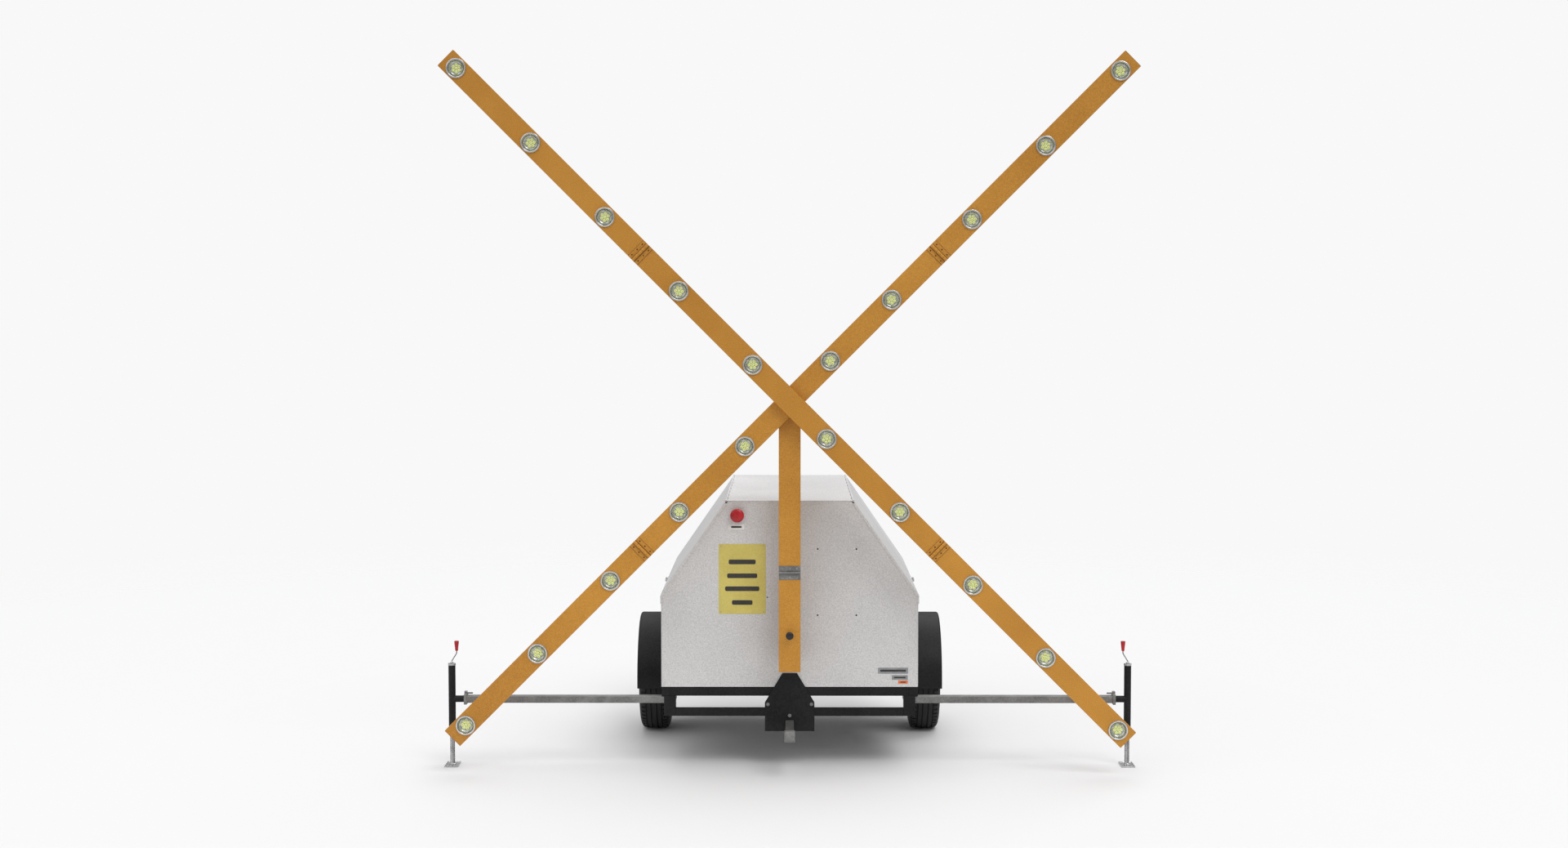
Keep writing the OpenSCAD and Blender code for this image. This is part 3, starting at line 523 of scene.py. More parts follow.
# %% [markdown]
# ## The lamps
# Each lamp is a sealed round unit pushed into its arm from the front: a steel can, a rolled
# bezel, a polished bowl with seven light-emitting diodes, and a clear cover. The shell is a
# body of revolution, so it is spun from half its section. One lamp is made and copied twenty
# times. Each copy is turned with its arm, as the real ones are.

# %% Where things sit on the arms
ARM_TURNS = {"upper_left": -135, "upper_right": -45, "lower_left": 135, "lower_right": 45}
FRONT_ARM = ("upper_left", "lower_right")
x_low, x_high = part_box("arm_front_inner")
X_CENTRE = Vector((0, 0, (x_low.z + x_high.z) / 2))


def along_arm(name, turn):
    """The corners of a working part in an arm's own axes: out along it, back, and across."""
    unturn = Matrix.Rotation(math.radians(-turn), 3, "Y")
    spots = [unturn @ (v.co - X_CENTRE) for v in frame["nodes"][name].data.vertices]
    return (Vector([min(s[i] for s in spots) for i in range(3)]),
            Vector([max(s[i] for s in spots) for i in range(3)]))


def solids(name):
    """The corners of each separate solid in a working part."""
    mesh = bmesh.new()
    mesh.from_mesh(frame["nodes"][name].data)
    bmesh.ops.remove_doubles(mesh, verts=mesh.verts, dist=0.00001)
    left, found = set(mesh.verts), []
    while left:
        edge, solid = [left.pop()], []
        while edge:
            vert = edge.pop()
            solid.append(vert.co.copy())
            near = {e.other_vert(vert) for e in vert.link_edges} & left
            left -= near
            edge += near
        found.append((Vector([min(c[i] for c in solid) for i in range(3)]),
                      Vector([max(c[i] for c in solid) for i in range(3)])))
    mesh.free()
    return found


lamp_low, lamp_high = solids("lamps_inner")[0]
LAMP_R = (lamp_high.x - lamp_low.x) / 2
print("X centre at", round(X_CENTRE.z, 3), "m, lamps of", round(2000 * LAMP_R), "mm")

# %% Lamp finishes
lamp_can = coat("lamp_can", tone(120, 120, 118), tone(150, 150, 148), rough=(0.4, 0.5), metal=0.6)
diode_yellow = coat("diode_yellow", tone(216, 222, 120), tone(234, 240, 160), patch=60.0,
                    speck=900.0, rough=(0.25, 0.4), bump=0.1)
glow = diode_yellow.node_tree.nodes["Principled BSDF"]
glow.inputs["Emission Color"].default_value = tone(216, 224, 100)
glow.inputs["Emission Strength"].default_value = 0.1
clear_cover = coat("clear_cover", tone(225, 228, 228), tone(240, 242, 242), patch=20.0,
                   rough=(0.02, 0.05), bump=0.01)
clear_cover.node_tree.nodes["Principled BSDF"].inputs["Alpha"].default_value = 0.05
diode_centre = coat("diode_centre", tone(128, 134, 52), tone(160, 166, 76), patch=60.0,
                    rough=(0.4, 0.5))
reflector = coat("reflector", tone(158, 159, 160), tone(204, 205, 206), patch=24.0,
                 rough=(0.16, 0.3), bump=0.04, metal=0.9)
bezel_steel = coat("bezel_steel", tone(196, 196, 196), tone(226, 226, 226), patch=40.0,
                   rough=(0.2, 0.32), bump=0.05, metal=1.0)


def dress(piece, finish, test):
    """Gives the picked faces a finish of their own."""
    pick_faces(piece, test)
    piece.data.materials.append(finish)
    piece.active_material_index = len(piece.data.materials) - 1
    bpy.ops.object.material_slot_assign()
    select_only(piece)


# %% One lamp, facing the viewer, with the arm's face at y = 0
PROUD = 0.009
BOWL_FLOOR = 0.0153
DIODE_RING = 0.0205
section = [(0, 0.030), (0.046, 0.030), (0.051, 0.010), (0.051, 0), (LAMP_R, 0),
           (LAMP_R, -0.0058), (LAMP_R - 0.0012, -0.0081), (LAMP_R - 0.0035, -PROUD),
           (0.0500, -PROUD), (0.0478, -0.0075), (0.0468, -0.0040), (0.0450, 0.0030),
           (0.0415, 0.0095), (0.0360, 0.0140), (0.0330, BOWL_FLOOR), (0, BOWL_FLOOR)]
shell = lathe([(r, y, 0) for r, y in section], (0, 0, 0), (0, 1, 0), 48)
painted(shell, bezel_steel)
dress(shell, lamp_can, lambda c, n: c.y > 0.0005 and math.hypot(c.x, c.z) > 0.046 or c.y > 0.02)
dress(shell, reflector, lambda c, n: math.hypot(c.x, c.z) < 0.0459 and c.y < 0.02)
# The steep ring where the bezel drops into the bowl is painted dark: painted shade of that recess.
dress(shell, rubber_and_painted_shade, lambda c, n: 0.0459 < math.hypot(c.x, c.z) < 0.0482 and c.y < 0.02)
bpy.ops.object.shade_smooth_by_angle(angle=math.radians(40))

diode = rod((0, 0.0165, 0), (0, 0.0105, 0), 0.0098, 12)
inset_steps(diode, lambda c, n: n.y < -0.9,
            [(0.0012, 0.0016), (0.0022, 0.0014), (0.0026, 0.0006), (0.0012, -0.0010)])
painted(diode, diode_yellow)
dress(diode, diode_centre, lambda c, n: n.y < -0.9 and math.hypot(c.x, c.z) < 0.0018)
bpy.ops.object.shade_smooth_by_angle(angle=math.radians(50))
diodes = [diode] + [
    copied(diode, (DIODE_RING * math.cos(a), 0, DIODE_RING * math.sin(a)))
    for a in (math.radians(60 * k) for k in range(6))]

cover = lathe([(0, -0.0072, 0), (0.028, -0.0068, 0), (0.0462, -0.0048, 0),
               (0.0462, -0.0036, 0), (0, -0.0058, 0)], (0, 0, 0), (0, 1, 0), 40)
painted(cover, clear_cover)
bpy.ops.object.shade_smooth_by_angle(angle=math.radians(40))
lamp = join(*diodes, cover, shell)
print("one lamp has", len(lamp.data.polygons), "faces")

# %% Twenty lamps
def arm_at(place):
    """The name of the half arm that a point of the X lies on."""
    return ("upper_" if place.z > X_CENTRE.z else "lower_") + ("right" if place.x > 0 else "left")


lamp_places = []
for name in [n for n in frame["nodes"] if n.startswith("lamps_")]:
    for low, high in solids(name):
        middle = (low + high) / 2
        lamp_places.append((arm_at(middle), Vector((middle.x, low.y + PROUD, middle.z))))
        one = turned(copied(lamp), ARM_TURNS[lamp_places[-1][0]] + 11 * len(lamp_places),
                     lamp_places[-1][1])
        settle(one, f"lamp_{lamp_places[-1][0]}_{len(lamp_places)}", body_of[name], "lamp_body",
               name)
bpy.data.objects.remove(lamp)
print(len(lamp_places), "lamps fitted")

# %% [markdown]
# ## The arms
# The X is two long box tubes bolted back to back, each in three lengths: one across the middle,
# and an outer one at each end that folds in on a hinge. Their ends are closed by welded caps,
# set in by a millimetre, and each lamp has a bore in the front wall. A length starts as a
# cuboid. Its ends are inset for the cap, a Boolean modifier cuts the bores in one go, and a
# bevel gives the long edges the radius that a rolled tube has.

# %% Box tubes
SEAM = 0.002
BORE_R = 0.0515
BORE_DEPTH = 0.038


def carved(piece, *cutters):
    """Cuts shapes out of a piece with a Boolean modifier and throws them away."""
    cutter = join(*cutters)
    cut = piece.modifiers.new("carved", "BOOLEAN")
    cut.object = cutter
    select_only(piece)
    bpy.ops.object.modifier_apply(modifier=cut.name)
    bpy.data.objects.remove(cutter)
    return piece


def box_tube(low, high, turn, ends):
    """A closed box tube along an arm's X, with end caps and the bores of its lamps."""
    piece = block(low, high)
    inset_steps(piece, lambda c, n: abs(n.x) > 0.9, [(0.0032, 0), (0.0006, -0.0012)])
    unturn = Matrix.Rotation(math.radians(-turn), 3, "Y")
    spots = [(unturn @ (place - X_CENTRE)).x for end, place in lamp_places if end in ends]
    carved(piece, *[rod((x, low.y - 0.02, 0), (x, low.y + BORE_DEPTH, 0), BORE_R, 40)
                    for x in spots if low.x < x < high.x])
    return turned(painted(soften(piece, 0.0025, 3, 60), orange_paint), turn, X_CENTRE)


BACK_ARM = ("upper_right", "lower_left")
inner_of = {}
for name, ends, turn in (("arm_front_inner", FRONT_ARM, ARM_TURNS["lower_right"]),
                         ("arm_back_inner", BACK_ARM, ARM_TURNS["upper_right"])):
    inner = inner_of[name] = along_arm(name, turn)
    settle(box_tube(*inner, turn, ends), name + "_tube", body_of[name], "orange_paint", name)
    for end in ends:
        name = "arm_" + end
        tip = along_arm(name, ARM_TURNS[end])[1].x
        piece = box_tube(Vector((inner[1].x + SEAM, inner[0].y, inner[0].z)),
                         Vector((tip, inner[1].y, inner[1].z)), ARM_TURNS[end], [end])
        settle(piece, name + "_tube", body_of[name], "orange_paint", name)
print("arms", round(2 * tip, 3), "m from tip to tip")

# %% [markdown]
# ## Butt hinges
# A butt hinge is two flat leaves whose edges are rolled into knuckles round one pin. The four
# hinges of the arms and the one of the mast differ only in size and finish, so one function
# makes a leaf from numbers: reach, thickness, how far the pin stands out, and the knuckle's
# radius. A leaf is a plate, its knuckles, and three countersunk screws with a socket each.

# %% One leaf, with the pin along Z through the origin and the plate behind it
KNUCKLES = 5
KNUCKLE_GAP = 0.0006
# LINE is the width of the painted shade along the edges of a leaf's front.
LINE = 0.0024


def screw_head(x, y, z, radius, finish):
    """A countersunk head that faces the viewer, with a socket."""
    head = rod((x, y, z), (x, y - 0.0009, z), radius, 20)
    inset_steps(head, lambda c, n: n.y < -0.9, [(radius * 0.18, 0.0003), (radius * 0.32, 0),
                                                 (0.0002, -0.0014)])
    return painted(soften(head, 0.0002, 1, 50), finish)


def hinge_leaf(side, width, reach, thick, stand, knuckle, first, finish, screw_finish):
    """A hinge leaf towards +X or -X, with every second knuckle from the first."""
    clear = knuckle + 0.001
    pitch = width / KNUCKLES
    plate = block((side * clear, stand - thick, -width / 2), (side * reach, stand, width / 2))
    inset_steps(plate, lambda c, n: n.y < -0.9, [(LINE, 0)])
    parts = []
    for i in range(first, KNUCKLES, 2):
        low = -width / 2 + i * pitch + KNUCKLE_GAP / 2
        high = low + pitch - KNUCKLE_GAP
        parts.append(rod((0, 0, low), (0, 0, high), knuckle, 28))
        parts.append(block((0, stand - thick, low), (side * (clear + 0.002), stand, high)))
    leaf = painted(soften(join(*parts, plate), 0.0007, 2, 50), finish)
    across = [screw_head(side * reach * 0.66, stand - thick, place * width * 0.33, 0.0046,
                         screw_finish) for place in (-1, 0, 1)]
    return join(*across, leaf)


def hinge_pin(width, radius, finish):
    """A pin with rounded ends that reach the outer faces of the knuckles."""
    return painted(soften(rod((0, 0, -width / 2), (0, 0, width / 2), radius, 24), 0.001, 2, 50),
                   finish)


# %% Arm hinges
# A darker orange on the borders of the hinge leaves and on the screw heads: painted shade of the
# gaps round the leaves and of the screw sockets.
painted_shade_orange = coat("painted_shade_orange", tone(92, 58, 16), tone(140, 92, 30), patch=30.0, speck=200.0,
                   rough=(0.55, 0.7))
HINGE = {"reach": 0.038, "thick": 0.004, "stand": 0.011, "knuckle": 0.010}
width = inner_of["arm_front_inner"][1].z - inner_of["arm_front_inner"][0].z
for end, turn in ARM_TURNS.items():
    low, high = inner_of["arm_front_inner" if end in FRONT_ARM else "arm_back_inner"]
    local = (high.x + SEAM / 2, low.y - HINGE["stand"], 0)
    for side, first, part in ((-1, 0, "inner"), (1, 1, "outer")):
        leaf = hinge_leaf(side, width, first=first, finish=orange_paint,
                          screw_finish=painted_shade_orange, **HINGE)
        # The leaf's front border at its outer edge and next to the knuckles gets the painted shade.
        dress(leaf, painted_shade_orange, lambda c, n: n.y < -0.9 and c.y > 0.006 and (
            abs(c.x) > HINGE["reach"] - LINE or abs(c.x) < HINGE["knuckle"] + 0.001 + LINE))
        if side < 0:
            leaf = join(hinge_pin(width, 0.0035, bright_steel), leaf)
        leaf = copied(leaf, local)
        node_name = "arm_fold_hinges" if side < 0 else "arm_" + end
        settle(turned(leaf, turn, X_CENTRE), f"fold_hinge_{part}_leaf_{end}",
               body_of[node_name], "orange_paint", node_name)
for stray in [o for o in bpy.data.objects if o.type == "MESH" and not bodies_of(o)
              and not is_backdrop(o)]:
    bpy.data.objects.remove(stray)

# %% Mast hinge
leaf_low, leaf_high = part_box("mast_lower_leaf")
upper_low, upper_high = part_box("mast_upper_leaf")
MAST_HINGE = {"reach": 0.040, "thick": 0.004, "stand": 0.009, "knuckle": 0.008}
pin_place = (0, leaf_high.y - MAST_HINGE["stand"], leaf_low.z + MAST_HINGE["reach"])
width = leaf_high.x - leaf_low.x
for side, first, name in ((1, 0, "mast_lower_leaf"), (-1, 1, "mast_upper_leaf")):
    leaf = hinge_leaf(side, width, first=first, finish=galvanised, screw_finish=bright_steel,
                      **MAST_HINGE)
    if side > 0:
        leaf = join(hinge_pin(width, 0.004, bright_steel), leaf)
    settle(turned(leaf, 90, pin_place), name + "_plate", body_of[name], "galvanised", name)
print("five hinges hung")

# %% [markdown]
# ## Controls and signs
# The stop button is a mushroom head on a collar, and the knob pulls the mast's lock pin. Both
# are turned parts, so each is spun from half its section. The signs are thin plates riveted to
# the front. Their wording is left out: short raised bars stand where lines of print would be.

# %% Stop button, collar and mast knob
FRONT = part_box("front_panel")[0].y


def centre_of(name):
    low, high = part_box(name)
    return (low + high) / 2


def turned_part(name, section, axis, centre, finish, slot, steps=48, angle=38):
    """Spins a section of (radius, distance along the axis) and lets it stand for a part."""
    centre, axis = Vector(centre), Vector(axis)
    out = Vector((0, 0, 1)) if axis.z == 0 else Vector((1, 0, 0))
    piece = lathe([centre + out * r + axis * t for r, t in section], centre, axis, steps)
    bpy.ops.object.shade_smooth_by_angle(angle=math.radians(angle))
    settle(painted(piece, finish), name + "_turned", body_of[name], slot, name)
    return piece


button_middle = centre_of("stop_button")
button_middle.y = FRONT
turned_part("stop_button", [(0, 0.024), (0.012, 0.024), (0.012, -0.022), (0.0285, -0.022),
                            (0.0375, -0.0245), (0.0402, -0.0275), (0.041, -0.031),
                            (0.0402, -0.0345), (0.0375, -0.038), (0.032, -0.0412),
                            (0.024, -0.0435), (0.013, -0.0447), (0, -0.045)],
            (0, 1, 0), button_middle, button_red, "button_red")
turned_part("stop_collar", [(0.01205, 0), (0.033, 0), (0.033, -0.003), (0.0325, -0.0035),
                            (0.0312, -0.0035), (0.0295, -0.0112), (0.029, -0.012),
                            (0.0128, -0.012), (0.01205, -0.0112), (0.01205, 0)],
            (0, 1, 0), button_middle, knob_black, "knob_black")
MAST_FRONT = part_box("lower_mast")[1].y - 0.1
knob_middle = Vector((0, MAST_FRONT, centre_of("mast_knob").z))
turned_part("mast_knob", [(0, 0.036), (0.008, 0.036), (0.008, -0.030), (0.011, -0.030),
                          (0.0168, -0.0325), (0.021, -0.0358), (0.023, -0.040),
                          (0.023, -0.0455), (0.0215, -0.049), (0.018, -0.0515),
                          (0.012, -0.0528), (0, -0.053)],
            (0, 1, 0), knob_middle, knob_black, "knob_black")

# %% Thin plates with bars for print
print_black = coat("print_black", tone(34, 33, 30), tone(62, 60, 54), patch=14.0, rough=(0.5, 0.7))
label_grey = coat("label_grey", tone(132, 134, 136), tone(158, 160, 162), patch=20.0,
                  rough=(0.3, 0.45), metal=0.4)
label_white = coat("label_white", tone(214, 213, 208), tone(236, 235, 230), patch=18.0,
                   rough=(0.4, 0.55))
label_orange = coat("label_orange", tone(206, 98, 44), tone(236, 126, 66), patch=18.0,
                    rough=(0.45, 0.6))


def thin_plate(x, z, thick, finish, corner=0.004, foot=0.0):
    """A plate on the front panel between two x and two z, with rounded corners."""
    plate = block((x[0], FRONT - foot - thick, z[0]), (x[1], FRONT - foot, z[1]))
    pick_faces(plate, lambda c, n: False)
    bpy.ops.mesh.select_mode(type="EDGE")
    mesh = bmesh.from_edit_mesh(plate.data)
    for edge in mesh.edges:
        edge.select_set(abs((edge.verts[0].co - edge.verts[1].co).y) > thick / 2)
    bpy.ops.mesh.bevel(offset=corner, segments=4, affect="EDGES")
    return painted(soften(plate, thick / 5, 1, 60), finish)


def print_bar(x, z, height, foot):
    """A plain raised bar in place of a line of print, on a plate of some thickness."""
    return thin_plate(x, (z - height / 2, z + height / 2), 0.0003, print_black, height * 0.3, foot)


low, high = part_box("sign_plate")
SIGN = high.y - low.y
middle = (low.x + high.x) / 2
rows = [(0.160, 1.2225), (0.178, 1.140), (0.203, 1.063), (0.122, 0.981)]
bars = [print_bar((middle - wide / 2, middle + wide / 2), z, 0.028, SIGN) for wide, z in rows]
rivets = [screw_head(x, FRONT - SIGN, z, 0.0035, bright_steel)
          for x in (low.x + 0.012, high.x - 0.012) for z in (low.z + 0.012, high.z - 0.012)]
plate = join(*bars, *rivets, thin_plate((low.x, high.x), (low.z, high.z), SIGN, sign_yellow))
settle(plate, "sign_plate_with_bars", "trailer", "sign_yellow", "sign_plate")
tag = join(print_bar((-0.346, -0.284), 1.430, 0.011, 0.001), thin_plate((-0.362, -0.268), (1.414, 1.446), 0.001, label_white, 0.006))
settle(tag, "stop_tag", "trailer", "sign_yellow")
for name, x, z, finish in (("long_label", (0.524, 0.703), (0.556, 0.592), label_grey),
                           ("short_label", (0.606, 0.701), (0.519, 0.547), label_grey),
                           ("orange_label", (0.644, 0.701), (0.496, 0.515), label_orange)):
    bar = print_bar((x[0] + 0.013, x[1] - 0.013), sum(z) / 2, (z[1] - z[0]) * 0.34, 0.001)
    settle(join(bar, thin_plate(x, z, 0.001, finish, 0.003)), name, "trailer", "sign_yellow")
print("sign, tag and three labels in place")

# %% [markdown]
# ## Small steel parts
# The knuckle pins, latches, bolts and brackets are already the right shape and only want their
# edges broken. The block at the drawbar's end is galvanised, and its tube gets a darker steel as
# painted shade. The post behind the front panel is black. Those faces get a finish of their own.

# %% Drawbar, plate, bolts and brackets
broken_edges("front_plate", black_paint, "black_paint", 0.0012)
broken_edges("plate_bolts", galvanised, "galvanised", 0.0012)
for name in both_sides("lid_latch"):
    broken_edges(name, bright_steel, "bright_steel", 0.0015)
broken_edges("lid_hinge_pins", bright_steel, "bright_steel", 0.0004)
brackets = broken_edges("mast_brackets", orange_paint, "orange_paint", 0.002)
dress(brackets, black_paint, lambda c, n: c.y > FRONT)
# A darker steel for the drawbar's tube while the block at its end stays galvanised: painted shade on
# the tube.
painted_shade_steel = coat("painted_shade_steel", tone(66, 66, 66), tone(112, 112, 110), patch=14.0,
                       speck=200.0, rough=(0.45, 0.7), bump=0.3, metal=0.5)
bar = broken_edges("drawbar", painted_shade_steel, "galvanised", 0.0015)
block_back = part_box("drawbar")[0].y + 0.055
dress(bar, galvanised, lambda c, n: c.y < block_back + 0.0001)

# %% [markdown]
# ## Fenders
# Each fender is a sheet rolled into a half circle, its outer edge turned down over a wire so
# that it can't cut. The section of sheet and edge is spun through 180 degrees about the axle.
# The two open ends are then extruded straight down for the skirts, and closed.

# %% Fenders
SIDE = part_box("side_panels")[1].x
low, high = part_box("fenders")
AXLE = Vector((0, (low.y + high.y) / 2, centre_of("tyre_right").z))
FENDER_R = (high.y - low.y) / 2
section = [(0.0005, -0.004), (0.0005, 0), (0.188, 0), (0.193, -0.0012), (0.1975, -0.004),
           (0.2005, -0.008), (0.2018, -0.013), (0.2015, -0.0175), (0.199, -0.020),
           (0.196, -0.0195), (0.1945, -0.017), (0.1955, -0.0145), (0.1965, -0.012),
           (0.1955, -0.0085), (0.192, -0.0055), (0.187, -0.004), (0.0005, -0.004)]
for side, name in ((1, "right"), (-1, "left")):
    piece = lathe([(side * (SIDE + x), AXLE.y + FENDER_R + r, AXLE.z) for x, r in section],
                  AXLE, (side, 0, 0), 48, 180 * side * side)
    if max(v.co.z for v in piece.data.vertices) < AXLE.z + 0.1:
        piece.scale = (1, 1, -1)
        piece.location.z = 2 * AXLE.z
        set_down()
    bpy.ops.object.mode_set(mode="EDIT")
    for end in (-1, 1):
        bpy.ops.mesh.select_mode(type="VERT")
        bpy.ops.mesh.select_all(action="DESELECT")
        mesh = bmesh.from_edit_mesh(piece.data)
        for vert in mesh.verts:
            vert.select_set(abs(vert.co.z - AXLE.z) < 0.00005 and (vert.co.y - AXLE.y) * end > 0)
        mesh.select_flush(True)
        bmesh.update_edit_mesh(piece.data)
        bpy.ops.mesh.extrude_region_move(
            TRANSFORM_OT_translate={"value": (0, 0, low.z - AXLE.z)})
        bpy.ops.mesh.edge_face_add()
    bpy.ops.mesh.select_all(action="SELECT")
    bpy.ops.mesh.normals_make_consistent(inside=False)
    select_only(piece)
    bpy.ops.object.shade_smooth_by_angle(angle=math.radians(38))
    settle(painted(piece, black_paint), "fender_" + name, "trailer", "black_paint", "fenders")

# %% [markdown]
# ## Tyres and rims
# A tyre's section is drawn once with its beads, bulged walls and the grooves round the tread,
# then spun about the axle. The cross cuts of the shoulders come from every second face of the
# outer ribs, inset and sunk one by one. The rim is a rolled channel with a dished disc. A
# Boolean modifier cuts its vent holes, and five nuts are one nut copied round the hub.

# %% Tyres
walls = [(0.060, 0.190), (0.078, 0.190), (0.0815, 0.196), (0.0800, 0.206), (0.0815, 0.211),
         (0.0890, 0.226), (0.0938, 0.246), (0.0958, 0.258), (0.0968, 0.260), (0.0968, 0.264),
         (0.0960, 0.266), (0.0958, 0.286), (0.0938, 0.304), (0.0905, 0.3185), (0.0860, 0.3295),
         (0.0795, 0.3375), (0.0700, 0.3425), (0.0525, 0.3441), (0.0515, 0.3365),
         (0.0455, 0.3365), (0.0445, 0.3444), (0.0215, 0.3450), (0.0205, 0.3370),
         (0.0145, 0.3370), (0.0135, 0.3450)]
section = walls + [(-x, r) for x, r in reversed(walls)] + [(-0.058, 0.236), (-0.040, 0.247),
                                                           (0.040, 0.247), (0.058, 0.236)]
section.append(section[0])
for side, name in ((1, "tyre_right"), (-1, "tyre_left")):
    hub = Vector((centre_of(name).x, AXLE.y, AXLE.z))
    piece = lathe([hub + Vector((x, 0, r)) for x, r in section], hub, (1, 0, 0), 120)

    def shoulder(c, n):
        out = Vector((0, c.y - hub.y, c.z - hub.z))
        turn = round(math.degrees(math.atan2(out.y, out.z)) / 3 - 0.5)
        return (turn + (c.x > hub.x)) % 2 == 0 and 0.0535 < abs(c.x - hub.x) < 0.084 and \
            out.length > 0.334
    pick_faces(piece, shoulder)
    bpy.ops.mesh.inset(thickness=0.0022, use_boundary=True)
    bpy.ops.mesh.inset(thickness=0.0006, depth=-0.0065)
    select_only(piece)
    bpy.ops.object.shade_smooth_by_angle(angle=math.radians(32))
    settle(painted(piece, tyre_rubber), name + "_treaded", body_of[name], "tyre_rubber", name)

# %% Rims
section = [(0, -0.020), (0.060, -0.020), (0.062, 0.018), (0.070, 0.0235), (0.108, 0.033),
           (0.116, 0.031), (0.147, 0.011), (0.158, 0.012), (0.174, 0.018), (0.174, -0.070),
           (0.184, -0.084), (0.200, -0.0845), (0.2015, -0.082), (0.200, -0.080), (0.190, -0.080),
           (0.188, -0.062), (0.178, -0.050), (0.178, 0.050), (0.188, 0.062), (0.190, 0.080),
           (0.200, 0.080), (0.2015, 0.082), (0.200, 0.0845), (0.184, 0.084), (0.180, 0.060),
           (0.176, 0.028), (0.158, 0.0225), (0.150, 0.022), (0.118, 0.0435), (0.110, 0.0455),
           (0.070, 0.036), (0.058, 0.034), (0.043, 0.034), (0.040, 0.037), (0.0385, 0.058),
           (0.036, 0.063), (0.028, 0.066), (0, 0.066)]
for side, name in ((1, "rim_right"), (-1, "rim_left")):
    hub = Vector((centre_of("tyre" + name[3:]).x, AXLE.y, AXLE.z))

    def on_disc(radius, turn, t):
        turn = math.radians(turn)
        return hub + Vector((side * t, radius * math.sin(turn), radius * math.cos(turn)))
    piece = lathe([hub + Vector((side * t, 0, r)) for r, t in section], hub, (1, 0, 0), 60)
    carved(piece, *[rod(on_disc(0.131, k * 45, 0.0), on_disc(0.131, k * 45, 0.06), 0.0135, 20)
                    for k in range(8)])
    painted(soften(piece, 0.0009, 2, 50), rim_paint)
    nuts = []
    for k in range(5):
        nut = rod(on_disc(0.057, k * 72, 0.030), on_disc(0.057, k * 72, 0.050), 0.011, 6)
        inset_steps(nut, lambda c, n: n.x * side > 0.9, [(0.002, 0), (0.0015, -0.003)])
        nuts.append(painted(soften(nut, 0.0008, 2), bright_steel))
    valve = rod(on_disc(0.165, 20, 0.012), on_disc(0.160, 20, 0.050), 0.0055, 16, 0.0038)
    painted(soften(valve, 0.0008, 2), rubber_and_painted_shade)
    settle(join(valve, *nuts, piece), name + "_pressed", body_of[name], "rim_paint", name)
print("two fenders, tyres and rims made")

# %% [markdown]
# ## Jacks
# An outer tube hangs on the outrigger's pin. A crank on top turns the screw inside, and the leg
# slides down. The crank is one bent wire, so it is drawn as a curve, and the grip is a turned
# sleeve. The foot plate is pressed: its rim stands up a little all round.

# %% Jack tubes and legs
for name in both_sides("jack_tube"):
    piece = broken_edges(name, black_paint, "black_paint", 0.0012, 3)
    low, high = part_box(name)
    dress(piece, bright_steel, lambda c, n: c.z > high.z - 0.0112)
for name in both_sides("jack_leg"):
    low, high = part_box(name)
    x, y = (low.x + high.x) / 2, (low.y + high.y) / 2
    foot = block((low.x, low.y, 0), (high.x, high.y, 0.008))
    inset_steps(foot, lambda c, n: n.z > 0.9, [(0.005, 0), (0.003, -0.0045)])
    foot = painted(soften(foot, 0.0012, 2), bright_steel)
    stem = lathe([(x, y, 0.0035), (x + 0.0215, y, 0.0035), (x + 0.0205, y, 0.009),
                  (x + 0.0155, y, 0.013), (x + 0.0145, y, 0.015), (x + 0.0145, y, high.z - 0.001),
                  (x + 0.0135, y, high.z), (x, y, high.z)], (x, y, 0), (0, 0, 1), 40)
    bpy.ops.object.shade_smooth_by_angle(angle=math.radians(40))
    leg = join(foot, painted(stem, bright_steel))
    settle(leg, name + "_with_foot", body_of[name], "bright_steel", name)

# %% Cranks and grips
WIRE_R = 0.0033
for side, end in ((1, "right"), (-1, "left")):
    low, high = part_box("jack_crank_" + end)
    post = centre_of("jack_leg_" + end)
    grip = centre_of("jack_grip_" + end)
    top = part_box("jack_tube_" + end)[1].z
    wire = tube([(post.x, post.y, top - 0.004), (post.x, post.y, top + 0.008),
                 (post.x, post.y, top + 0.014), (post.x - side * 0.004, post.y + 0.009, top + 0.021),
                 (grip.x + side * 0.004, grip.y - 0.009, top + 0.045),
                 (grip.x, grip.y, top + 0.052), (grip.x, grip.y, top + 0.060),
                 (grip.x, grip.y, high.z)], WIRE_R, 12)
    nut = rod((post.x, post.y, top - 0.019), (post.x, post.y, top + 0.005), 0.005, 24)
    collar = rod((post.x, post.y, top + 0.0004), (post.x, post.y, top + 0.0060), 0.0105, 6)
    inset_steps(collar, lambda c, n: n.z > 0.9, [(0.0022, 0.0008), (0.0030, 0.0060)])
    wire = join(painted(soften(nut, 0.0008), bright_steel),
                painted(soften(collar, 0.0007), bright_steel), painted(wire, galvanised))
    settle(wire, "jack_crank_wire_" + end, body_of["jack_crank_" + end], "galvanised",
           "jack_crank_" + end)
    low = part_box("jack_grip_" + end)[0].z
    turned_part("jack_grip_" + end,
                [(0.0034, 0), (0.0075, 0), (0.0086, 0.0012), (0.0088, 0.0045), (0.0100, 0.0165),
                 (0.0094, 0.0175), (0.0104, 0.0195), (0.0114, 0.0285), (0.0108, 0.0295),
                 (0.0118, 0.0315), (0.0128, 0.0405), (0.0122, 0.0415), (0.0132, 0.0435),
                 (0.0140, 0.0535), (0.0136, 0.0565), (0.0118, 0.0588), (0, 0.0595),
                 (0, 0.0575), (0.0034, 0.0575), (0.0034, 0)],
                (0, 0, 1), (grip.x, grip.y, low), grip_red, "grip_red", 32)
print("jacks assembled")

# %% [markdown]
# ## Under the lids
# With a lid open the generator set shows: a small diesel, its alternator, the fuel tank, two
# batteries and the switch box. Their bodies are castings, pressings and mouldings, so their
# edges are rounded more than those of the frame. On top come the things that are bolted on:
# cooling fins, the exhaust, caps, terminals, dials and levers.

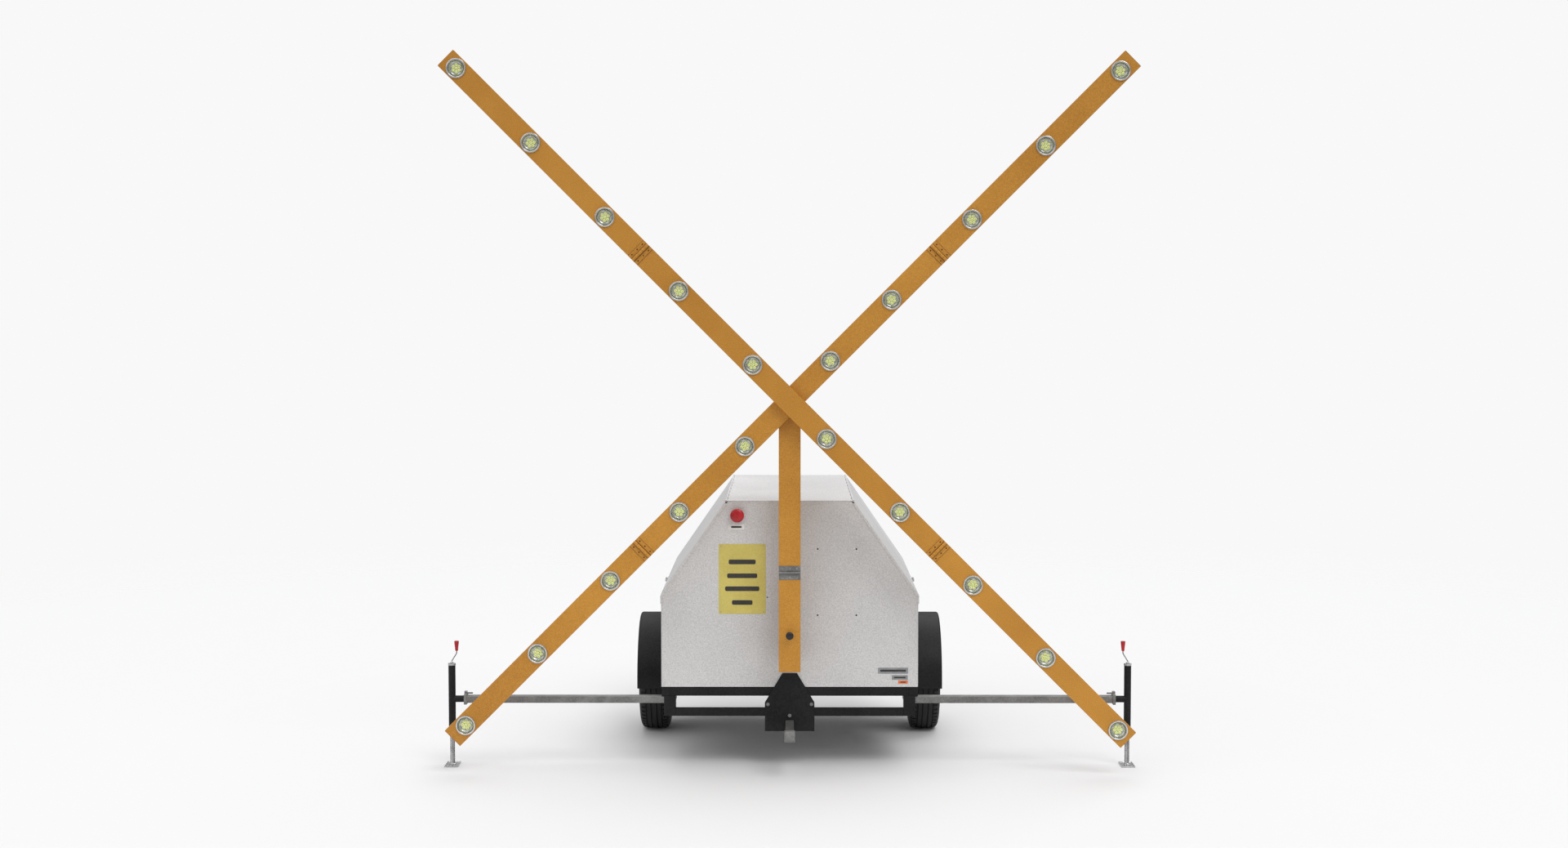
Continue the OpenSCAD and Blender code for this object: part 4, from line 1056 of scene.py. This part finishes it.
# %% Castings and mouldings
for name, finish, slot, width in (
        ("engine", engine_paint, "engine_paint", 0.006),
        ("alternator", alternator_paint, "alternator_paint", 0.004),
        ("fuel_tank", tank_plastic, "tank_plastic", 0.008),
        ("batteries", battery_plastic, "battery_plastic", 0.003),
        ("control_box", control_paint, "control_paint", 0.002)):
    broken_edges(name, finish, slot, width, 3)
fins = [painted(soften(block((-0.086, 0.20 + 0.04 * i, 0.802), (0.086, 0.212 + 0.04 * i, 0.872)),
                       0.003, 2), cast_iron) for i in range(8)]
settle(join(*fins), "engine_fins", "trailer", "engine_paint")
settle(painted(tube([(0.104, 0.50, 0.84), (0.104, 0.56, 0.84), (0.12, 0.66, 0.83),
                     (0.20, 0.80, 0.74), (0.24, 0.96, 0.66), (0.24, 1.08, 0.62)], 0.022, 16),
               cast_iron), "exhaust_pipe", "trailer", "engine_paint")
cells = []
for y in (-0.42, -0.23):
    for x, finish in ((0.520, button_red), (0.650, rubber_and_painted_shade)):
        cap = rod((x, y + 0.04, 0.690), (x, y + 0.04, 0.704), 0.013, 20)
        inset_steps(cap, lambda c, n: n.z > 0.9, [(0.003, 0.002)])
        cells.append(painted(soften(cap, 0.001), finish))
    for k in range(6):
        plug = rod((0.51 + 0.03 * k, y + 0.12, 0.679), (0.51 + 0.03 * k, y + 0.12, 0.685), 0.010, 16)
        inset_steps(plug, lambda c, n: n.z > 0.9, [(0.003, -0.002)])
        cells.append(painted(soften(plug, 0.0008), knob_black))
settle(join(*cells), "battery_fittings", "trailer", "battery_plastic")
dials = []
for z in (0.83, 0.74):
    for y in (-0.65, -0.59, -0.53):
        dial = rod((0.600, y, z), (0.594, y, z), 0.021, 32)
        inset_steps(dial, lambda c, n: n.x < -0.9, [(0.003, 0), (0.0008, -0.003)])
        painted(soften(dial, 0.0006), bright_steel)
        dress(dial, label_white, lambda c, n: n.x < -0.9 and abs(c.x - 0.597) < 0.0006)
        dials.append(dial)
for k, y in enumerate((-0.65, -0.61, -0.57, -0.53)):
    lever = rod((0.602, y, 0.64), (0.580, y, 0.652), 0.0042, 16, 0.006)
    dials.append(painted(soften(lever, 0.0012), (button_red, knob_black)[k % 2]))
settle(join(*dials), "control_box_dials", "trailer", "control_paint")
print("generator set dressed")
